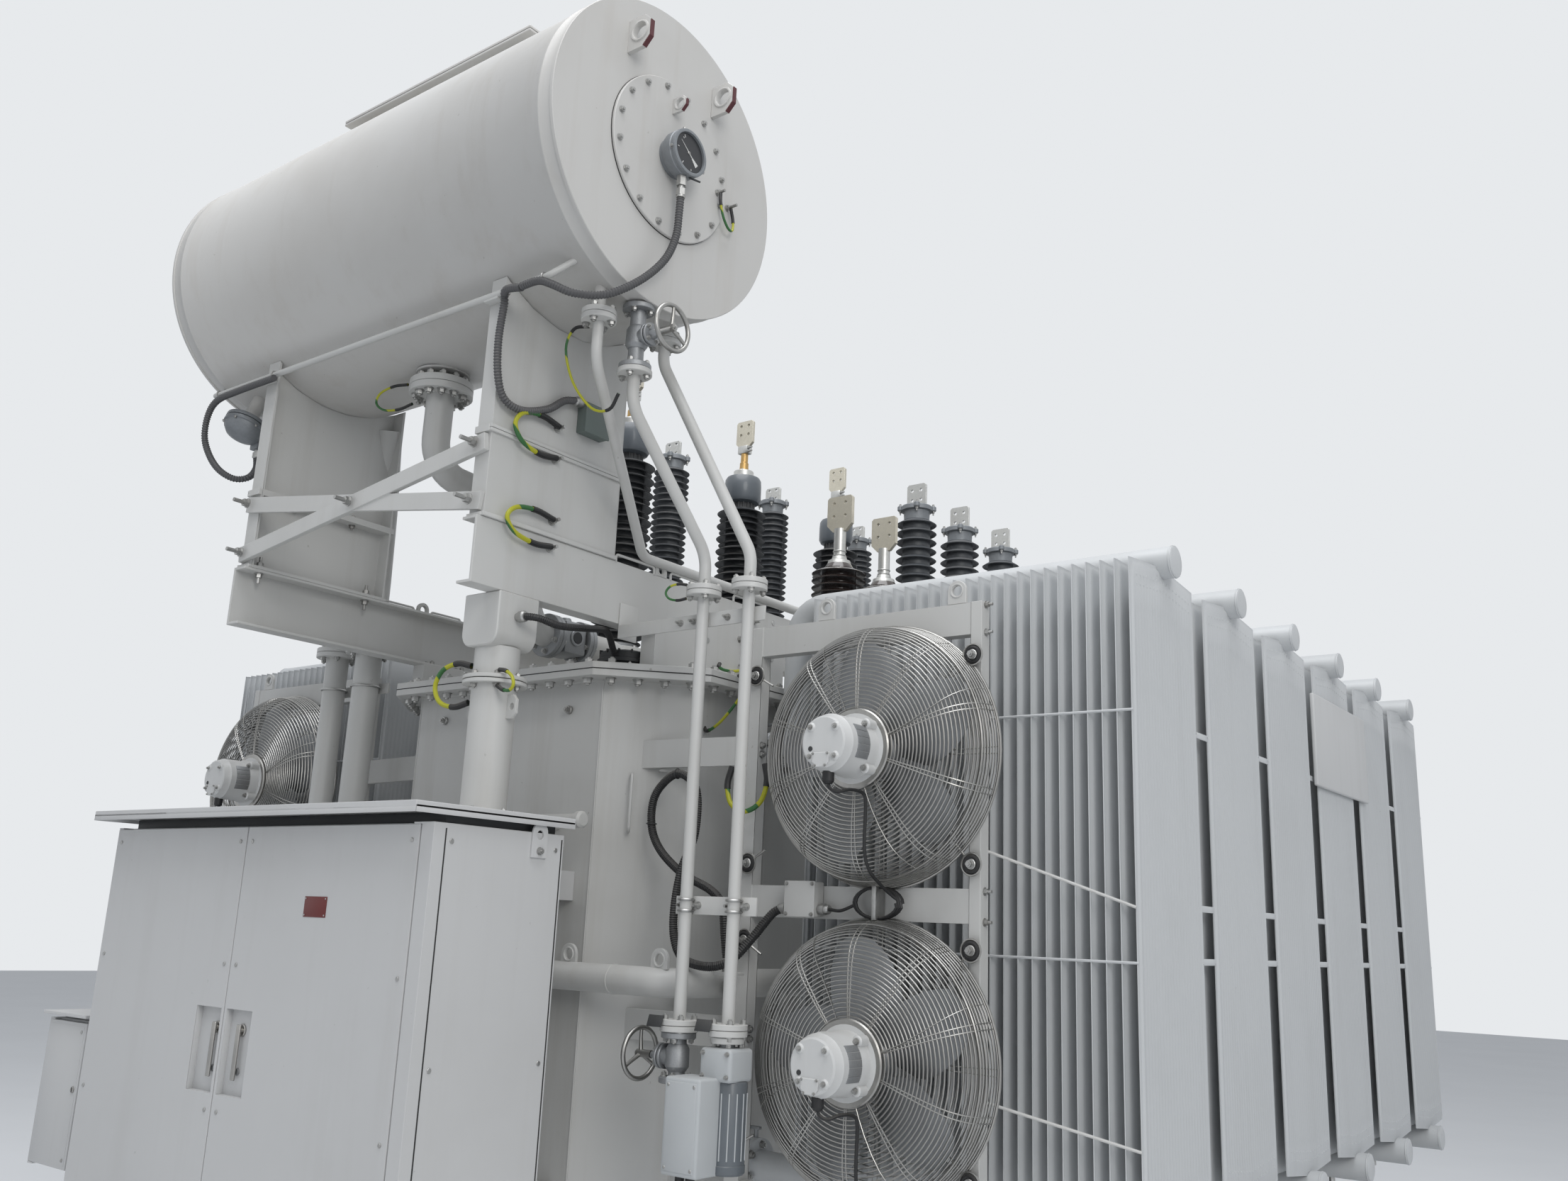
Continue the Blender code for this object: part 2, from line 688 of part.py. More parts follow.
def fan_guard_shape(z):
    """The wire basket in front of the frame, with the motor that its centre carries."""
    ring_y = FRAME_FRONT - TOUCH - GUARD_WIRE
    shoulder_y = ring_y - GUARD_SHOULDER_DEPTH
    front_y = ring_y - GUARD_DEPTH
    centre = Vector((FAN_X, 0, z))
    pieces = [torus(centre + Vector((0, ring_y, 0)), GUARD_RADIUS, GUARD_WIRE, 16, 4, (0, 1, 0))]
    for i in range(GUARD_SPOKES):
        angle = math.pi / GUARD_SPOKES + 2 * math.pi * i / GUARD_SPOKES
        out = Vector((math.cos(angle), 0, math.sin(angle)))
        path = [
            centre + out * GUARD_RADIUS + Vector((0, ring_y, 0)),
            centre + out * GUARD_SHOULDER_RADIUS + Vector((0, shoulder_y, 0)),
            centre + out * MOTOR_FLANGE_RADIUS * 0.9 + Vector((0, front_y, 0)),
        ]
        pieces.append(pipe(path, GUARD_WIRE * 0.6, 4))
    flange_front = Vector((0, front_y - MOTOR_FLANGE / 2, 0))
    flange_back = Vector((0, front_y + MOTOR_FLANGE / 2, 0))
    pieces.append(rod(centre + flange_front, centre + flange_back, MOTOR_FLANGE_RADIUS, MOTOR_SIDES))
    motor_end = flange_front - Vector((0, MOTOR_LENGTH, 0))
    pieces.append(rod(centre + motor_end, centre + Vector((0, front_y, 0)), MOTOR_RADIUS, MOTOR_SIDES))
    return fused(pieces)


def fan_rotor_shape(z):
    """Hub, shaft and swept blades, turning about a line along Y through the motor."""
    ring_y = FRAME_FRONT - TOUCH - GUARD_WIRE
    front_y = ring_y - GUARD_DEPTH
    motor_face = front_y + MOTOR_FLANGE / 2
    back = FRAME_FRONT - BLADE_BACK_GAP
    hub_front = back - HUB_LENGTH
    centre = Vector((FAN_X, 0, z))
    pieces = [
        rod(centre + Vector((0, hub_front, 0)), centre + Vector((0, back, 0)), HUB_RADIUS, 10),
        rod(centre + Vector((0, motor_face + TOUCH, 0)), centre + Vector((0, hub_front + 0.01, 0)), SHAFT_RADIUS, 8),
    ]
    middle = (hub_front + back) / 2
    for i in range(FAN_BLADES):
        pieces.append(blade(centre + Vector((0, middle, 0)), 2 * math.pi * i / FAN_BLADES))
    return fused(pieces)


def blade(centre, angle):
    """One blade, wider and flatter at its tip, as a thin lofted plate."""
    shape = bmesh.new()
    stations = ((HUB_RADIUS * 0.8, BLADE_ROOT_CHORD, 1.0), (BLADE_TIP, BLADE_TIP_CHORD, 0.55))
    rows = []
    for radius, chord, twist in stations:
        pitch = math.radians(BLADE_ANGLE) * twist
        lean = 0.35 * (radius / BLADE_TIP) ** 2
        row = []
        for share in (-0.5, 0.5):
            across = chord * share * math.cos(pitch)
            rise = chord * share * math.sin(pitch)
            turn = lean + across / max(radius, 0.12)
            row.append(shape.verts.new((radius * math.cos(turn), rise, radius * math.sin(turn))))
        rows.append(row)
    for low, high in zip(rows, rows[1:]):
        shape.faces.new((low[0], low[1], high[1], high[0]))
    bmesh.ops.triangulate(shape, faces=shape.faces)
    made = from_bmesh(shape)
    solid = made.modifiers.new("thickness", "SOLIDIFY")
    solid.thickness = BLADE_THICK
    solid.offset = 0.0
    made = baked(made)
    made.data.transform(Matrix.Translation(centre) @ Matrix.Rotation(angle, 4, "Y"))
    return made


def fans():
    for side in ("right", "left"):
        sign = 1 if side == "right" else -1
        frame = fan_frame_shape() if sign > 0 else mirrored_x(bpy.data.objects["fan_frame_right"])
        finish(frame, f"fan_frame_{side}", "white_paint")
        for place, z in zip(("lower", "upper"), FAN_Z):
            guard, rotor = f"fan_guard_{side}_{place}", f"fan_rotor_{side}_{place}"
            if sign > 0:
                shapes = fan_guard_shape(z), fan_rotor_shape(z)
            else:
                shapes = tuple(mirrored_x(bpy.data.objects[n.replace("left", "right")]) for n in (guard, rotor))
            origin = (sign * FAN_X, FRAME_FRONT, z)
            finish(shapes[0], guard, "stainless", origin=origin, parent=None)
            finish(shapes[1], rotor, "fan_blade", origin=origin, parent=None)


def conservator_ring(gap):
    """The outline of the conservator's shell, this far outside it, starting at the left of its lowest flat."""
    start = -math.pi / 2 - math.pi / CONSERVATOR_SIDES
    centre = (CONSERVATOR_Y, CONSERVATOR_Z)
    return circle(centre, CONSERVATOR_RADIUS + gap, CONSERVATOR_SIDES, start)


def underside(y, gap=TOUCH):
    """The height of the shell's underside at y, less a gap."""
    ring = conservator_ring(gap)
    quarter = CONSERVATOR_SIDES // 4
    low = ring[-quarter:] + ring[: quarter + 2]
    for (y0, z0), (y1, z1) in zip(low, low[1:]):
        if y0 <= y <= y1:
            return z0 + (z1 - z0) * (y - y0) / (y1 - y0)
    return CONSERVATOR_Z


def outlet_top(y, radius):
    """The height at which a round stub's flat end just clears the shell."""
    reach = radius * OUTLET_MARGIN
    return min(underside(y - reach, 2 * TOUCH), underside(y + reach, 2 * TOUCH))


def conservator():
    axis_y, axis_z, end = CONSERVATOR_Y, CONSERVATOR_Z, CONSERVATOR_END
    centre = Vector((0, axis_y, axis_z))
    pieces = [plate(conservator_ring(0), "YZ", -end, end)]
    top = axis_z + CONSERVATOR_RADIUS
    half, wide = CURB_LENGTH / 2, CURB_WIDTH / 2
    pieces.append(box((CURB_X - half, axis_y - wide, top - 0.08), (CURB_X + half, axis_y + wide, top + CURB_HEIGHT - CURB_PLATE / 2)))
    pieces.append(
        box(
            (CURB_X - half - CURB_PLATE_REACH, axis_y - wide - CURB_PLATE_REACH, top + CURB_HEIGHT - CURB_PLATE),
            (CURB_X + half + CURB_PLATE_REACH, axis_y + wide + CURB_PLATE_REACH, top + CURB_HEIGHT),
        )
    )
    finish(fused(pieces), "conservator", "white_paint", origin=centre, smooth=30)
    face = end + TOUCH
    hatch_centre = centre + Vector((face, 0, 0))
    hatch = rod(hatch_centre, hatch_centre + Vector((HATCH_THICK, 0, 0)), HATCH_RADIUS, HATCH_SIDES)
    finish(hatch, "conservator_hatch", "white_paint", origin=hatch_centre, smooth=30)
    gauge_x = face + HATCH_THICK + TOUCH
    profile = [
        (0, GAUGE_STAND + GAUGE_DEPTH),
        (GAUGE_RADIUS, GAUGE_STAND + GAUGE_DEPTH),
        (GAUGE_RADIUS, GAUGE_STAND),
        (GAUGE_NECK_RADIUS, GAUGE_STAND),
        (GAUGE_NECK_RADIUS, 0),
        (0, 0),
    ]
    gauge_place = (gauge_x, axis_y, axis_z)
    finish(turned(profile, gauge_place, 20, "X"), "level_gauge", "gauge_grey", origin=gauge_place, smooth=30)


def channel(x, y_low, y_high, z_low, z_high, inward):
    """A channel beam along Y whose web's outer face is at x and whose flanges point inward."""
    web = x + inward * BEAM_WALL
    lip = x + inward * BEAM_FLANGE
    outline = [
        (x, z_low), (lip, z_low), (lip, z_low + BEAM_WALL), (web, z_low + BEAM_WALL),
        (web, z_high - BEAM_WALL), (lip, z_high - BEAM_WALL), (lip, z_high), (x, z_high),
    ]
    return plate(outline, "XZ", y_low, y_high)


def saddle(rear, front):
    """The upper edge of a plate under the conservator, from its rear edge to its front."""
    within = [point for point in conservator_ring(TOUCH) if front < point[0] < rear and point[1] < CONSERVATOR_Z]
    within.sort(reverse=True)
    return [(rear, underside(rear)), *within, (front, underside(front))]


def leg_shape(side):
    """A channel-shaped leg: a web saddled to the conservator, two flanges, a bolted joint and a foot."""
    x = side * BEAM_X
    inward = -side
    foot_z = BEAM_TOP + TOUCH
    joint_z = foot_z + LEG_LOWER_HEIGHT
    web = sorted((x, x + inward * LEG_WALL))
    lip = sorted((x, x + inward * LEG_FLANGE))
    pieces = [plate([(LEG_FRONT, foot_z), (LEG_REAR, foot_z), *saddle(LEG_REAR, LEG_FRONT)], "YZ", *web)]
    for front, rear in ((LEG_FRONT, LEG_FRONT + LEG_WALL), (LEG_REAR - LEG_WALL, LEG_REAR)):
        pieces.append(plate([(front, foot_z), (rear, foot_z), *saddle(rear, front)], "YZ", *lip))
    for z, thick in ((foot_z, LEG_JOINT / 2), (joint_z, LEG_JOINT)):
        pieces.append(box((lip[0], LEG_FRONT - LEG_JOINT_REACH, z), (lip[1], LEG_REAR + LEG_JOINT_REACH, z + thick)))
    return fused(pieces)


def conservator_support():
    for name, side in (("right", 1), ("left", -1)):
        x = side * BEAM_X
        beam = channel(x, BEAM_FRONT, BEAM_REAR, BEAM_BOTTOM, BEAM_TOP, -side)
        span = sorted((x, x - side * BEAM_FLANGE))
        packer = box((span[0], PACKER_FRONT, COVER_TOP + TOUCH), (span[1], PACKER_REAR, BEAM_BOTTOM + BEAM_WALL / 2))
        finish(fused([beam, packer]), f"support_beam_{name}", "white_paint")
        finish(leg_shape(side), f"conservator_leg_{name}", "white_paint", smooth=20)
    front = LEG_FRONT - TOUCH
    reach = BEAM_X - BEAM_FLANGE * 0.1
    offset = Vector((2 * reach, BRACE_HIGH_Z - BRACE_LOW_Z)).normalized() * BRACE_BAR / 2
    rising = [
        (-reach + offset.y, BRACE_LOW_Z - offset.x), (reach + offset.y, BRACE_HIGH_Z - offset.x),
        (reach - offset.y, BRACE_HIGH_Z + offset.x), (-reach - offset.y, BRACE_LOW_Z + offset.x),
    ]
    falling = [(-across, z) for across, z in rising]
    bars = [
        plate(rising, "XZ", front - BRACE_THICK * 2, front),
        plate(falling, "XZ", front - BRACE_THICK * 1.5, front),
    ]
    finish(fused(bars), "leg_brace", "white_paint")


def flange_pair(place, radius, thick, axis=(0, 0, 1), sides=12):
    """Two bolted flanges face to face, as one disc about place."""
    half = Vector(axis) * thick / 2
    return rod(Vector(place) - half, Vector(place) + half, radius, sides)


def oil_pipes():
    top = outlet_top(CONSERVATOR_Y, MAIN_PIPE_RADIUS)
    path = rounded(
        [
            (0, CONSERVATOR_Y, top), (0, CONSERVATOR_Y, MAIN_RUN_Z), (0, MAIN_DROP_Y, MAIN_RUN_Z - MAIN_RUN_FALL),
            (0, MAIN_DROP_Y, RELAY_Z), (0, MAIN_END_Y, RELAY_Z), (0, MAIN_END_Y, COVER_TOP + TOUCH),
        ],
        0.10,
        3,
    )
    main = fused([
        pipe(path, MAIN_PIPE_RADIUS, 8),
        flange_pair((0, CONSERVATOR_Y, top - MAIN_STUB), MAIN_FLANGE_RADIUS, MAIN_FLANGE),
        rod((0, RELAY_Y, RELAY_Z), (0, RELAY_Y + RELAY_LENGTH, RELAY_Z), RELAY_RADIUS, 12),
    ])
    finish(main, "main_oil_pipe", "white_paint", smooth=35)


def down_pipes():
    for index, name in enumerate(("left", "right")):
        x = DROP_X[index]
        start_x, start_y = OUTLET_X[index], OUTLET_Y[index]
        start_z = VALVE_TOP_Z if index == 0 else outlet_top(start_y, DROP_RADIUS)
        bend_z = start_z - (0.12 if index == 0 else 0.34)
        path = rounded(
            [
                (start_x, start_y, start_z), (start_x, start_y, bend_z),
                (x, DROP_Y, DROP_TOP_Z + 0.22), (x, DROP_Y, DROP_LOW_Z + TOUCH),
            ],
            0.12,
            2,
        )
        pieces = [
            pipe(path, DROP_RADIUS, 6),
            flange_pair((x, DROP_Y, DROP_TOP_Z), DROP_FLANGE_RADIUS, DROP_FLANGE),
            flange_pair((x, DROP_Y, DROP_LOW_Z + DROP_FLANGE / 2 + TOUCH), DROP_FLANGE_RADIUS, DROP_FLANGE),
        ]
        if index == 0:
            pieces.append(flange_pair((start_x, start_y, start_z - DROP_FLANGE / 4), DROP_FLANGE_RADIUS, DROP_FLANGE / 2))
        finish(fused(pieces), f"down_pipe_{name}", "white_paint", smooth=35)
    x, y, z = THIN_PIPE_X, THIN_PIPE_Y, THIN_PIPE_Z
    radius = DROP_RADIUS * 0.9
    turn = Vector((BEAM_X + THIN_PIPE_TURN_OUT, THIN_PIPE_TURN_Y, COVER_TOP + THIN_PIPE_TURN_RISE))
    path = [
        (x, y, outlet_top(y, radius)), (x, y, z - THIN_PIPE_STRAIGHT), turn,
        (turn.x, THIN_PIPE_FOOT_Y, turn.z), (turn.x, THIN_PIPE_FOOT_Y, COVER_TOP + TOUCH),
    ]
    thin = [
        pipe(rounded(path, 0.08, 2), radius, 6),
        flange_pair((x, y, z - THIN_PIPE_FLANGE_DROP), DROP_FLANGE_RADIUS, DROP_FLANGE),
    ]
    finish(fused(thin), "thin_oil_pipe", "white_paint", smooth=35)


def handwheel(centre, outward):
    """A spoked wheel whose hub runs back to its valve."""
    centre, outward = Vector(centre), Vector(outward)
    pieces = [
        torus(centre, WHEEL_RADIUS - WHEEL_RIM, WHEEL_RIM, 14, 4, outward),
        rod(centre - outward * WHEEL_HUB_LENGTH, centre + outward * 0.012, WHEEL_HUB_RADIUS, 8),
    ]
    for i in range(WHEEL_SPOKES):
        angle = math.pi / 2 + 2 * math.pi * i / WHEEL_SPOKES
        tip = centre + Vector((0, math.cos(angle), math.sin(angle))) * (WHEEL_RADIUS - WHEEL_RIM)
        pieces.append(rod(centre, tip, WHEEL_RIM * 0.7, 5))
    return fused(pieces)


def valve(name, x, y, low, high, outward):
    """A gate valve between two levels on a pipe, with its bonnet to one side and its handwheel."""
    middle = (low + high) / 2
    out = Vector((outward, 0, 0))
    body = fused([
        rod((x, y, low), (x, y, high), VALVE_BODY_RADIUS * 0.7, 8),
        flange_pair((x, y, low + DROP_FLANGE / 4), DROP_FLANGE_RADIUS, DROP_FLANGE / 2),
        flange_pair((x, y, high - DROP_FLANGE / 4), DROP_FLANGE_RADIUS, DROP_FLANGE / 2),
        rod((x, y, low + 0.04), (x, y, high - 0.04), VALVE_BODY_RADIUS, 10),
        rod((x, y, middle), (x + outward * BONNET_LENGTH, y, middle), BONNET_RADIUS, 8),
        flange_pair((x + outward * BONNET_LENGTH * 0.55, y, middle), VALVE_BODY_RADIUS * 1.1, 0.02, out, 12),
    ])
    finish(body, f"{name}_valve", "cast_grey", smooth=35)
    hub = Vector((x, y, middle)) + out * (BONNET_LENGTH + TOUCH + WHEEL_HUB_LENGTH)
    finish(handwheel(hub, out), f"{name}_handwheel", "stainless", origin=hub, smooth=35)


def valves():
    top = outlet_top(OUTLET_Y[0], DROP_FLANGE_RADIUS)
    valve("upper", OUTLET_X[0], OUTLET_Y[0], VALVE_TOP_Z + TOUCH, top, 1)
    valve("lower", DROP_X[0], DROP_Y, DROP_LOW_Z - LOWER_VALVE_LENGTH, DROP_LOW_Z, -1)


def breather():
    x, y, top = DROP_X[1], DROP_Y, DROP_LOW_Z
    head_w, head_d, head_h = BREATHER_HEAD
    box_w, box_d, box_h = BREATHER_BOX
    neck = 0.03
    head_low = top - neck - head_h
    front = y - head_d / 2
    pieces = [
        rod((x, y, head_low + 0.02), (x, y, top), 0.022, 10),
        box((x - head_w / 2, front, head_low), (x + head_w / 2, front + head_d, head_low + head_h)),
        rod((x + 0.01, y + 0.01, head_low - BREATHER_POT_LENGTH), (x + 0.01, y + 0.01, head_low + 0.01), BREATHER_POT_RADIUS, 14),
        box((x - head_w / 2 - 0.06, front - box_d + 0.03, head_low - box_h + 0.012), (x - head_w / 2 - 0.06 + box_w, front + 0.035, head_low + 0.012)),
    ]
    finish(fused(pieces), "breather", "box_grey", smooth=35)


def hinge_tabs(x0, x1, front, back, low, high):
    """The two tabs of a body that a door turns between, just under and just over it."""
    return [
        box((x0, front, low), (x1, back, low + DOOR_GAP - TOUCH)),
        box((x0, front, high - DOOR_GAP + TOUCH), (x1, back, high)),
    ]


def cabinet():
    low = Vector((CABINET_LEFT, CABINET_FRONT + DOOR_THICK + DOOR_GAP, CABINET_BOTTOM))
    high = Vector((CABINET_RIGHT, CABINET_REAR, CABINET_TOP))
    wall = Vector((CABINET_WALL,) * 3)
    shell = box(low, high)
    hollow = box(low + Vector((CABINET_WALL, -0.1, CABINET_WALL)), high - wall)
    body = cut(shell, [hollow])
    pieces = [body]
    post_x = CABINET_RIGHT - CABINET_POST
    pieces.append(box((post_x, CABINET_FRONT, CABINET_BOTTOM), (CABINET_RIGHT, low.y + CABINET_WALL, CABINET_TOP)))
    for x in (CABINET_LEFT, post_x - DOOR_GAP - HINGE_TAB):
        reach = HINGE_TAB + (0 if x < 0 else CABINET_WALL)
        pieces += hinge_tabs(x, x + reach, CABINET_FRONT, low.y + CABINET_WALL / 2, CABINET_BOTTOM, CABINET_TOP)
    tank_face = -TANK_LENGTH / 2 - TOUCH
    for x in (-ARM_X, ARM_X):
        for z in ARM_Z:
            pieces.append(box((x - ARM_WIDTH / 2, CABINET_REAR - 0.01, z), (x + ARM_WIDTH / 2, tank_face, z + ARM_HEIGHT)))
    roof_z = CABINET_TOP + ROOF_RISE
    for x in (CABINET_LEFT + 0.04, CABINET_RIGHT - 0.10):
        for y in (low.y + 0.03, CABINET_REAR - 0.09):
            pieces.append(box((x, y, CABINET_TOP - 0.005), (x + 0.06, y + 0.06, roof_z - TOUCH)))
    finish(fused(pieces), "cabinet_body", "white_paint")
    roof = box(
        (CABINET_LEFT - ROOF_SIDE_REACH, CABINET_FRONT - ROOF_FRONT_REACH, roof_z),
        (CABINET_RIGHT + ROOF_SIDE_REACH, CABINET_REAR + ROOF_REAR_REACH, roof_z + ROOF_THICK),
    )
    finish(roof, "cabinet_roof", "white_paint")
    cabinet_doors()


def cabinet_doors():
    """Two doors side by side, each hung on its outer edge, with a pocket for the handles."""
    back = CABINET_FRONT + DOOR_THICK
    bottom, top = CABINET_BOTTOM + DOOR_GAP, CABINET_TOP - DOOR_GAP
    edges = {
        "left": (CABINET_LEFT, DOOR_SPLIT_X - DOOR_GAP / 2),
        "right": (DOOR_SPLIT_X + DOOR_GAP / 2, CABINET_RIGHT - CABINET_POST - DOOR_GAP),
    }
    for side, (x0, x1) in edges.items():
        leaf = box((x0, CABINET_FRONT, bottom), (x1, back, top))
        inner = x1 if side == "left" else x0
        away = -1 if side == "left" else 1
        pocket = box(
            (min(inner + away * HANDLE_POCKET_WIDTH, inner - away * 0.1), CABINET_FRONT - 0.1, HANDLE_POCKET_Z - HANDLE_POCKET_HEIGHT / 2),
            (max(inner + away * HANDLE_POCKET_WIDTH, inner - away * 0.1), CABINET_FRONT + HANDLE_POCKET_DEPTH, HANDLE_POCKET_Z + HANDLE_POCKET_HEIGHT / 2),
        )
        leaf = cut(leaf, [pocket])
        hinge_x = x0 if side == "left" else x1
        handle_x = inner + away * 0.065
        grip = box((handle_x - 0.014, CABINET_FRONT - 0.006, HANDLE_POCKET_Z - 0.065), (handle_x + 0.014, CABINET_FRONT + HANDLE_POCKET_DEPTH + 0.004, HANDLE_POCKET_Z + 0.075))
        finish(fused([leaf, grip]), f"cabinet_door_{side}", "white_paint", origin=(hinge_x, CABINET_FRONT, bottom))


def side_box():
    """A small box held off the cabinet's left wall, its door on the front and hung at the left."""
    bottom, top = SIDE_BOX_Z
    low = Vector((SIDE_BOX_LEFT, SIDE_BOX_FRONT + SIDE_DOOR_THICK + DOOR_GAP, bottom))
    high = Vector((SIDE_BOX_RIGHT, SIDE_BOX_FRONT + SIDE_BOX_DEPTH, top))
    wall = SIDE_BOX_WALL
    hollow = box(low + Vector((wall, -wall, wall)), high - Vector((wall,) * 3))
    pieces = [cut(box(low, high), [hollow])]
    roof_z = top + SIDE_ROOF_RISE
    reach = SIDE_ROOF_REACH
    pieces.append(box((low.x - reach, SIDE_BOX_FRONT - reach, roof_z), (high.x + reach, high.y + reach, roof_z + SIDE_ROOF)))
    pieces.append(box((low.x + reach, low.y + reach, top - wall / 2), (high.x - reach, high.y - reach, roof_z + SIDE_ROOF / 2)))
    for z in SIDE_ARM_Z:
        arm_low = (high.x - wall / 2, high.y - wall - SIDE_ARM_DEPTH, z)
        pieces.append(box(arm_low, (CABINET_LEFT - TOUCH, high.y - wall, z + SIDE_ARM_HEIGHT)))
    pieces += hinge_tabs(low.x, low.x + HINGE_TAB, SIDE_BOX_FRONT, low.y + wall / 2, bottom, top)
    finish(fused(pieces), "side_box", "white_paint")
    door_high = (high.x, SIDE_BOX_FRONT + SIDE_DOOR_THICK, top - DOOR_GAP)
    door = box((low.x, SIDE_BOX_FRONT, bottom + DOOR_GAP), door_high)
    finish(door, "side_box_door", "white_paint", origin=(low.x, SIDE_BOX_FRONT, bottom))


def cable_duct():
    top = BEAM_BOTTOM - TOUCH
    box_low = top - DUCT_BOX_HEIGHT
    half = DUCT_BOX / 2
    foot = CABINET_TOP + ROOF_RISE + ROOF_THICK + TOUCH
    pieces = [
        box((DUCT_X - half, DUCT_Y - half, box_low), (DUCT_X + half, DUCT_Y + half, top)),
        rod((DUCT_X, DUCT_Y, foot), (DUCT_X, DUCT_Y, box_low + 0.01), DUCT_RADIUS, 16),
        flange_pair((DUCT_X, DUCT_Y, box_low - DUCT_FLANGE_DROP), DUCT_FLANGE_RADIUS, DUCT_FLANGE, sides=16),
    ]
    finish(fused(pieces), "cable_duct", "white_paint", smooth=35)


def cover_fittings():
    low = COVER_TOP + TOUCH
    profile = [
        (0, RELIEF_HEIGHT), (RELIEF_RADIUS * 0.82, RELIEF_HEIGHT), (RELIEF_RADIUS * 0.9, RELIEF_HEIGHT * 0.75),
        (RELIEF_RADIUS, RELIEF_HEIGHT * 0.7), (RELIEF_RADIUS, RELIEF_HEIGHT * 0.25), (RELIEF_RADIUS * 0.9, 0), (0, 0),
    ]
    relief = turned(profile, (RELIEF_X, RELIEF_Y, low), 16)
    finish(relief, "relief_device", "dark_cap", origin=(RELIEF_X, RELIEF_Y, low), smooth=30)
    side = TANK_WIDTH / 2 + TOUCH
    path = rounded(
        [
            (TANK_PIPE_START_X, -TANK_LENGTH / 2 - TOUCH, TANK_PIPE_Z), (TANK_PIPE_START_X, TANK_PIPE_Y, TANK_PIPE_Z),
            (TANK_PIPE_TURN_X, TANK_PIPE_Y, TANK_PIPE_Z), (TANK_PIPE_TURN_X, TANK_PIPE_END_Y, TANK_PIPE_Z), (side, TANK_PIPE_END_Y, TANK_PIPE_Z),
        ],
        TANK_PIPE_BEND,
        3,
    )
    finish(pipe(path, TANK_PIPE_RADIUS, 8), "tank_pipe", "white_paint", smooth=35)


def shed_profile(row, foot):
    """A bushing's outline from its terminal down: cap, sheds and foot, above the place it stands on."""
    cap_top = row["top"] - TERMINAL_HEIGHT
    core = row["core"]
    body_top = cap_top - row["cap"]
    body_low = foot + BUSHING_FOOT
    pitch = (body_top - body_low) / row["sheds"]
    points = [(0, cap_top), (row["neck"], cap_top), (row["neck"], body_top)]
    for i in range(row["sheds"]):
        z = body_top - i * pitch
        points += [(core, z - pitch * 0.2), (row["shed"], z - pitch * 0.6)]
    flare = core * BUSHING_FOOT_FLARE
    points += [(flare, body_low), (flare, foot), (0, foot)]
    return points


def bushing(row, y, foot):
    """One bushing above its stand, with the flat plate that a line is bolted to."""
    floor = COVER_TOP + TOUCH
    body = turned(shed_profile(row, foot), (row["x"], y, floor), BUSHING_SIDES)
    x, half, thick = row["x"], TERMINAL_WIDTH / 2, TERMINAL_THICK / 2
    top = floor + row["top"]
    plate_low = top - TERMINAL_HEIGHT - TERMINAL_SINK
    return [body, box((x - half, y - thick, plate_low), (x + half, y + thick, top))]


def round_stand(row, y, radius, height):
    place = (row["x"], y, COVER_TOP + TOUCH)
    profile = [(0, height + BUSHING_SINK), (radius, height + BUSHING_SINK), (radius, 0), (0, 0)]
    return turned(profile, place, STAND_SIDES)


def bushings():
    floor = COVER_TOP + TOUCH
    half = ROW_BOX_WIDTH / 2
    singles = (
        ("hv_bushing", HV_BUSHINGS, TURRET_RADIUS, TURRET_HEIGHT),
        ("mid_bushing", MID_BUSHINGS, half, ROW_BOX_HEIGHT),
    )
    for name, row, radius, height in singles:
        for i, y in enumerate(row["y"]):
            pieces = [*bushing(row, y, height), round_stand(row, y, radius, height)]
            finish(fused(pieces), f"{name}_{i + 1}", "shed_grey", origin=(row["x"], y, floor), smooth=20)
    for name, row, material in (("lv_bushings", LV_BUSHINGS, "shed_brown"), ("end_bushings", END_BUSHINGS, "shed_grey")):
        x, first, last = row["x"], row["y"][0], row["y"][-1]
        pieces = [box((x - half, first - half, floor), (x + half, last + half, floor + ROW_BOX_HEIGHT))]
        for y in row["y"]:
            pieces += bushing(row, y, ROW_BOX_HEIGHT - BUSHING_SINK)
        finish(fused(pieces), name, material, origin=(x, first, floor), smooth=20)


base_frame()
tank()
radiators()
fans()
conservator()
conservator_support()
oil_pipes()
down_pipes()
valves()
breather()
cabinet()
side_box()
cable_duct()
cover_fittings()
bushings()
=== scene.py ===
from math import cos, pi, radians, sin, sqrt, tan, tau

import bmesh
import bpy
from mathutils import Matrix, Vector


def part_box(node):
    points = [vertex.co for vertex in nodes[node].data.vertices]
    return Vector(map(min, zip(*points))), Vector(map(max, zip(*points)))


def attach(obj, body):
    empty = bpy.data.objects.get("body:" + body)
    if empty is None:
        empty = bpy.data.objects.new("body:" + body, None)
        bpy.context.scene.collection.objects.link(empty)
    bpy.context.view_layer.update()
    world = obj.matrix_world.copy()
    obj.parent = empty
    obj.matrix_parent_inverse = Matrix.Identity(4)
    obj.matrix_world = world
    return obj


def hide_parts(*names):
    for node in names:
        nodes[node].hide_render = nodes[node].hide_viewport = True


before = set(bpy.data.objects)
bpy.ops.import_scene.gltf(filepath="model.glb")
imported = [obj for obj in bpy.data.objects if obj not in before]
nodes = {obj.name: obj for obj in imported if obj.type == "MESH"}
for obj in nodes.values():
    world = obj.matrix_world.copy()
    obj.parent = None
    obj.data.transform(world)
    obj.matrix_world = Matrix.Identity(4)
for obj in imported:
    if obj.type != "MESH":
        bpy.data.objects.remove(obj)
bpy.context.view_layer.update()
print("frame loaded:", len(nodes), "nodes")


def addObject(name, data):
  made = bpy.data.objects.new(name, data)
  bpy.context.scene.collection.objects.link(made)
  return made


